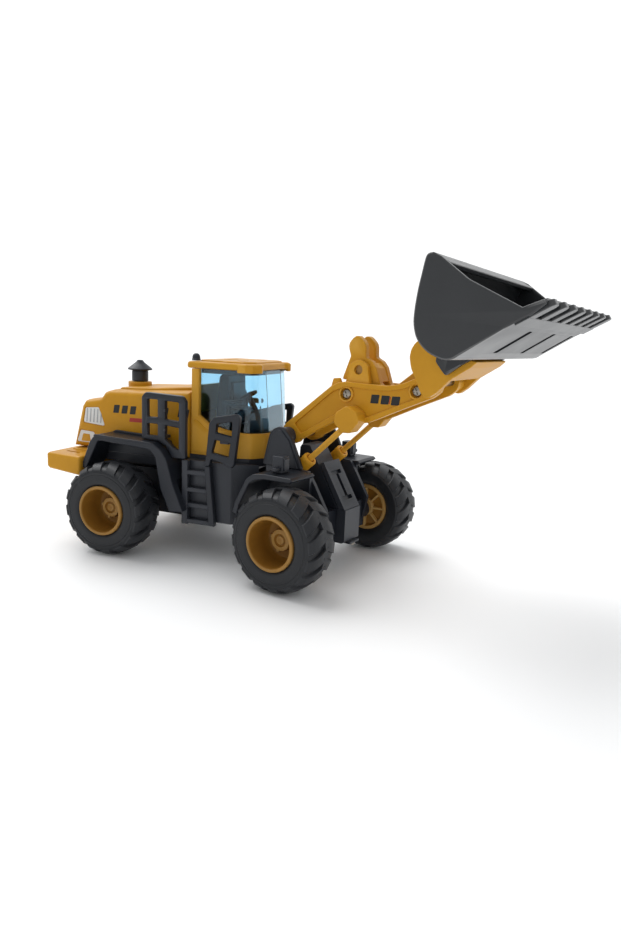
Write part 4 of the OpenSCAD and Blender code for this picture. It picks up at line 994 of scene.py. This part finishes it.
rocker()
tilt_link()
coupler()
bucket()
# The rocker pin is steel, but it gets the dark amber moulding: painted shade for the shade in the hole it turns
# in.
pin = Piece()
pin.rod(*ROCKER_PIN, 1.29, -4.9, 4.9)
pin.done("rocker_pin_rod", "boom", RIM, FRONT, ["rocker_pin"])

# ---------------------------------------------------------------- lift cylinders
RAM_ANGLE = math.radians(43.5)
RAM_EYE = (8.4, 44.6)
RAM_LENGTH = 23.0
RAM_Y = 9.3
RAM_FOOT = (RAM_EYE[0] - RAM_LENGTH * math.cos(RAM_ANGLE), RAM_EYE[1] - RAM_LENGTH * math.sin(RAM_ANGLE))


def along_ram(a, b, d):
    c, s = math.cos(RAM_ANGLE), math.sin(RAM_ANGLE)
    return (RAM_FOOT[0] + d * c - a * s, -RAM_Y + b, RAM_FOOT[1] + d * s + a * c)


for side, mirrored in SIDES:
    barrel = Piece()
    barrel.lathe([(0.0001, -4.8), (1.6, -4.8), (2, -4.4), (2, 6), (2.1, 6.2), (2.1, 7.4), (1.98, 7.65),
                  (1.8, 7.7), (1.35, 7.7), (1.2, 7.5), (1.05, 7.3), (0.98, 7.1), (0.95, -3.9),
                  (0.0001, -3.9)], along_ram, 48)
    barrel.rod(RAM_FOOT[0], RAM_FOOT[1], 1.05, -12.7, -10.8)
    body = f"lift_barrel_{side}"
    barrel.done(f"{body}_tube", body, ORANGE, FRONT, [body], mirrored)
    rod = Piece()
    rod.lathe([(0.0001, 4.9), (0.7, 4.9), (0.85, 5.05), (0.85, 22.8), (0.0001, 22.8)], along_ram, 32)
    rod.rod(RAM_EYE[0], RAM_EYE[1], 1.35, -RAM_Y - 0.9, -RAM_Y + 0.9)
    body = f"lift_rod_{side}"
    rod.done(f"{body}_bar", body, ORANGE, FRONT, [body], mirrored)

# ---------------------------------------------------------------- stage
FLOOR_REACH = 60.0
floor_mesh = bpy.data.meshes.new("floor")
floor_mesh.from_pydata([(x * FLOOR_REACH, y * FLOOR_REACH, 0) for x, y in ((-1, -1), (1, -1), (1, 1), (-1, 1))],
                       [], [(0, 1, 2, 3)])
floor = bpy.data.objects.new("floor", floor_mesh)
bpy.context.collection.objects.link(floor)
pale = bpy.data.materials.new("pale_floor")
pale.use_nodes = True
pale.node_tree.nodes["Principled BSDF"].inputs["Base Color"].default_value = (0.95, 0.955, 0.96, 1)
pale.node_tree.nodes["Principled BSDF"].inputs["Roughness"].default_value = 0.55
floor_mesh.materials.append(pale)

# a white wall stands behind the object and a dimmer room in front of it
AZIMUTH, ELEVATION, ROLL = math.radians(19.79), math.radians(11.01), math.radians(2.49)
world = bpy.data.worlds.new("studio")
world.use_nodes = True
room, room_links = world.node_tree.nodes, world.node_tree.links
direction = room.new("ShaderNodeTexCoord")
facing = room.new("ShaderNodeVectorMath")
facing.operation = "DOT_PRODUCT"
facing.inputs[1].default_value = (-math.sin(AZIMUTH), math.cos(AZIMUTH), 0.05)
level = room.new("ShaderNodeMapRange")
level.inputs["From Min"].default_value = 0.1
level.inputs["From Max"].default_value = 0.75
level.inputs["To Min"].default_value = 0.64
level.inputs["To Max"].default_value = 1.12
room_links.new(direction.outputs["Generated"], facing.inputs[0])
room_links.new(facing.outputs["Value"], level.inputs["Value"])
room_links.new(level.outputs["Result"], room["Background"].inputs["Strength"])
room["Background"].inputs["Color"].default_value = (0.985, 0.993, 1, 1)
bpy.context.scene.world = world
bpy.context.scene.view_settings.view_transform = "Standard"

key_light = bpy.data.lights.new("key", "SUN")
key_light.energy = 1.75
key_light.angle = math.radians(48)
key = bpy.data.objects.new("key", key_light)
bpy.context.collection.objects.link(key)
key.rotation_euler = Vector((0.62, -0.3, -1)).to_track_quat("-Z", "Y").to_euler()

# the camera: place, azimuth, elevation and roll, then the lens for the portrait frame
CAMERA_SPOT = Vector((58.53, -193.2, 68.6))
camera_data = bpy.data.cameras.new("camera")
camera_data.sensor_width = 36
camera_data.lens = 25.74
camera_data.clip_start = 0.01
camera = bpy.data.objects.new("camera", camera_data)
bpy.context.collection.objects.link(camera)
back = Vector((math.sin(AZIMUTH) * math.cos(ELEVATION), -math.cos(AZIMUTH) * math.cos(ELEVATION),
               math.sin(ELEVATION)))
right = Vector((math.cos(AZIMUTH), math.sin(AZIMUTH), 0))
up = back.cross(right)
tilted_right = right * math.cos(ROLL) + up * math.sin(ROLL)
tilted_up = up * math.cos(ROLL) - right * math.sin(ROLL)
turn = Matrix((tilted_right, tilted_up, back)).transposed().to_4x4()
camera.matrix_world = Matrix.Translation(REAR @ CAMERA_SPOT) @ turn
bpy.context.scene.camera = camera
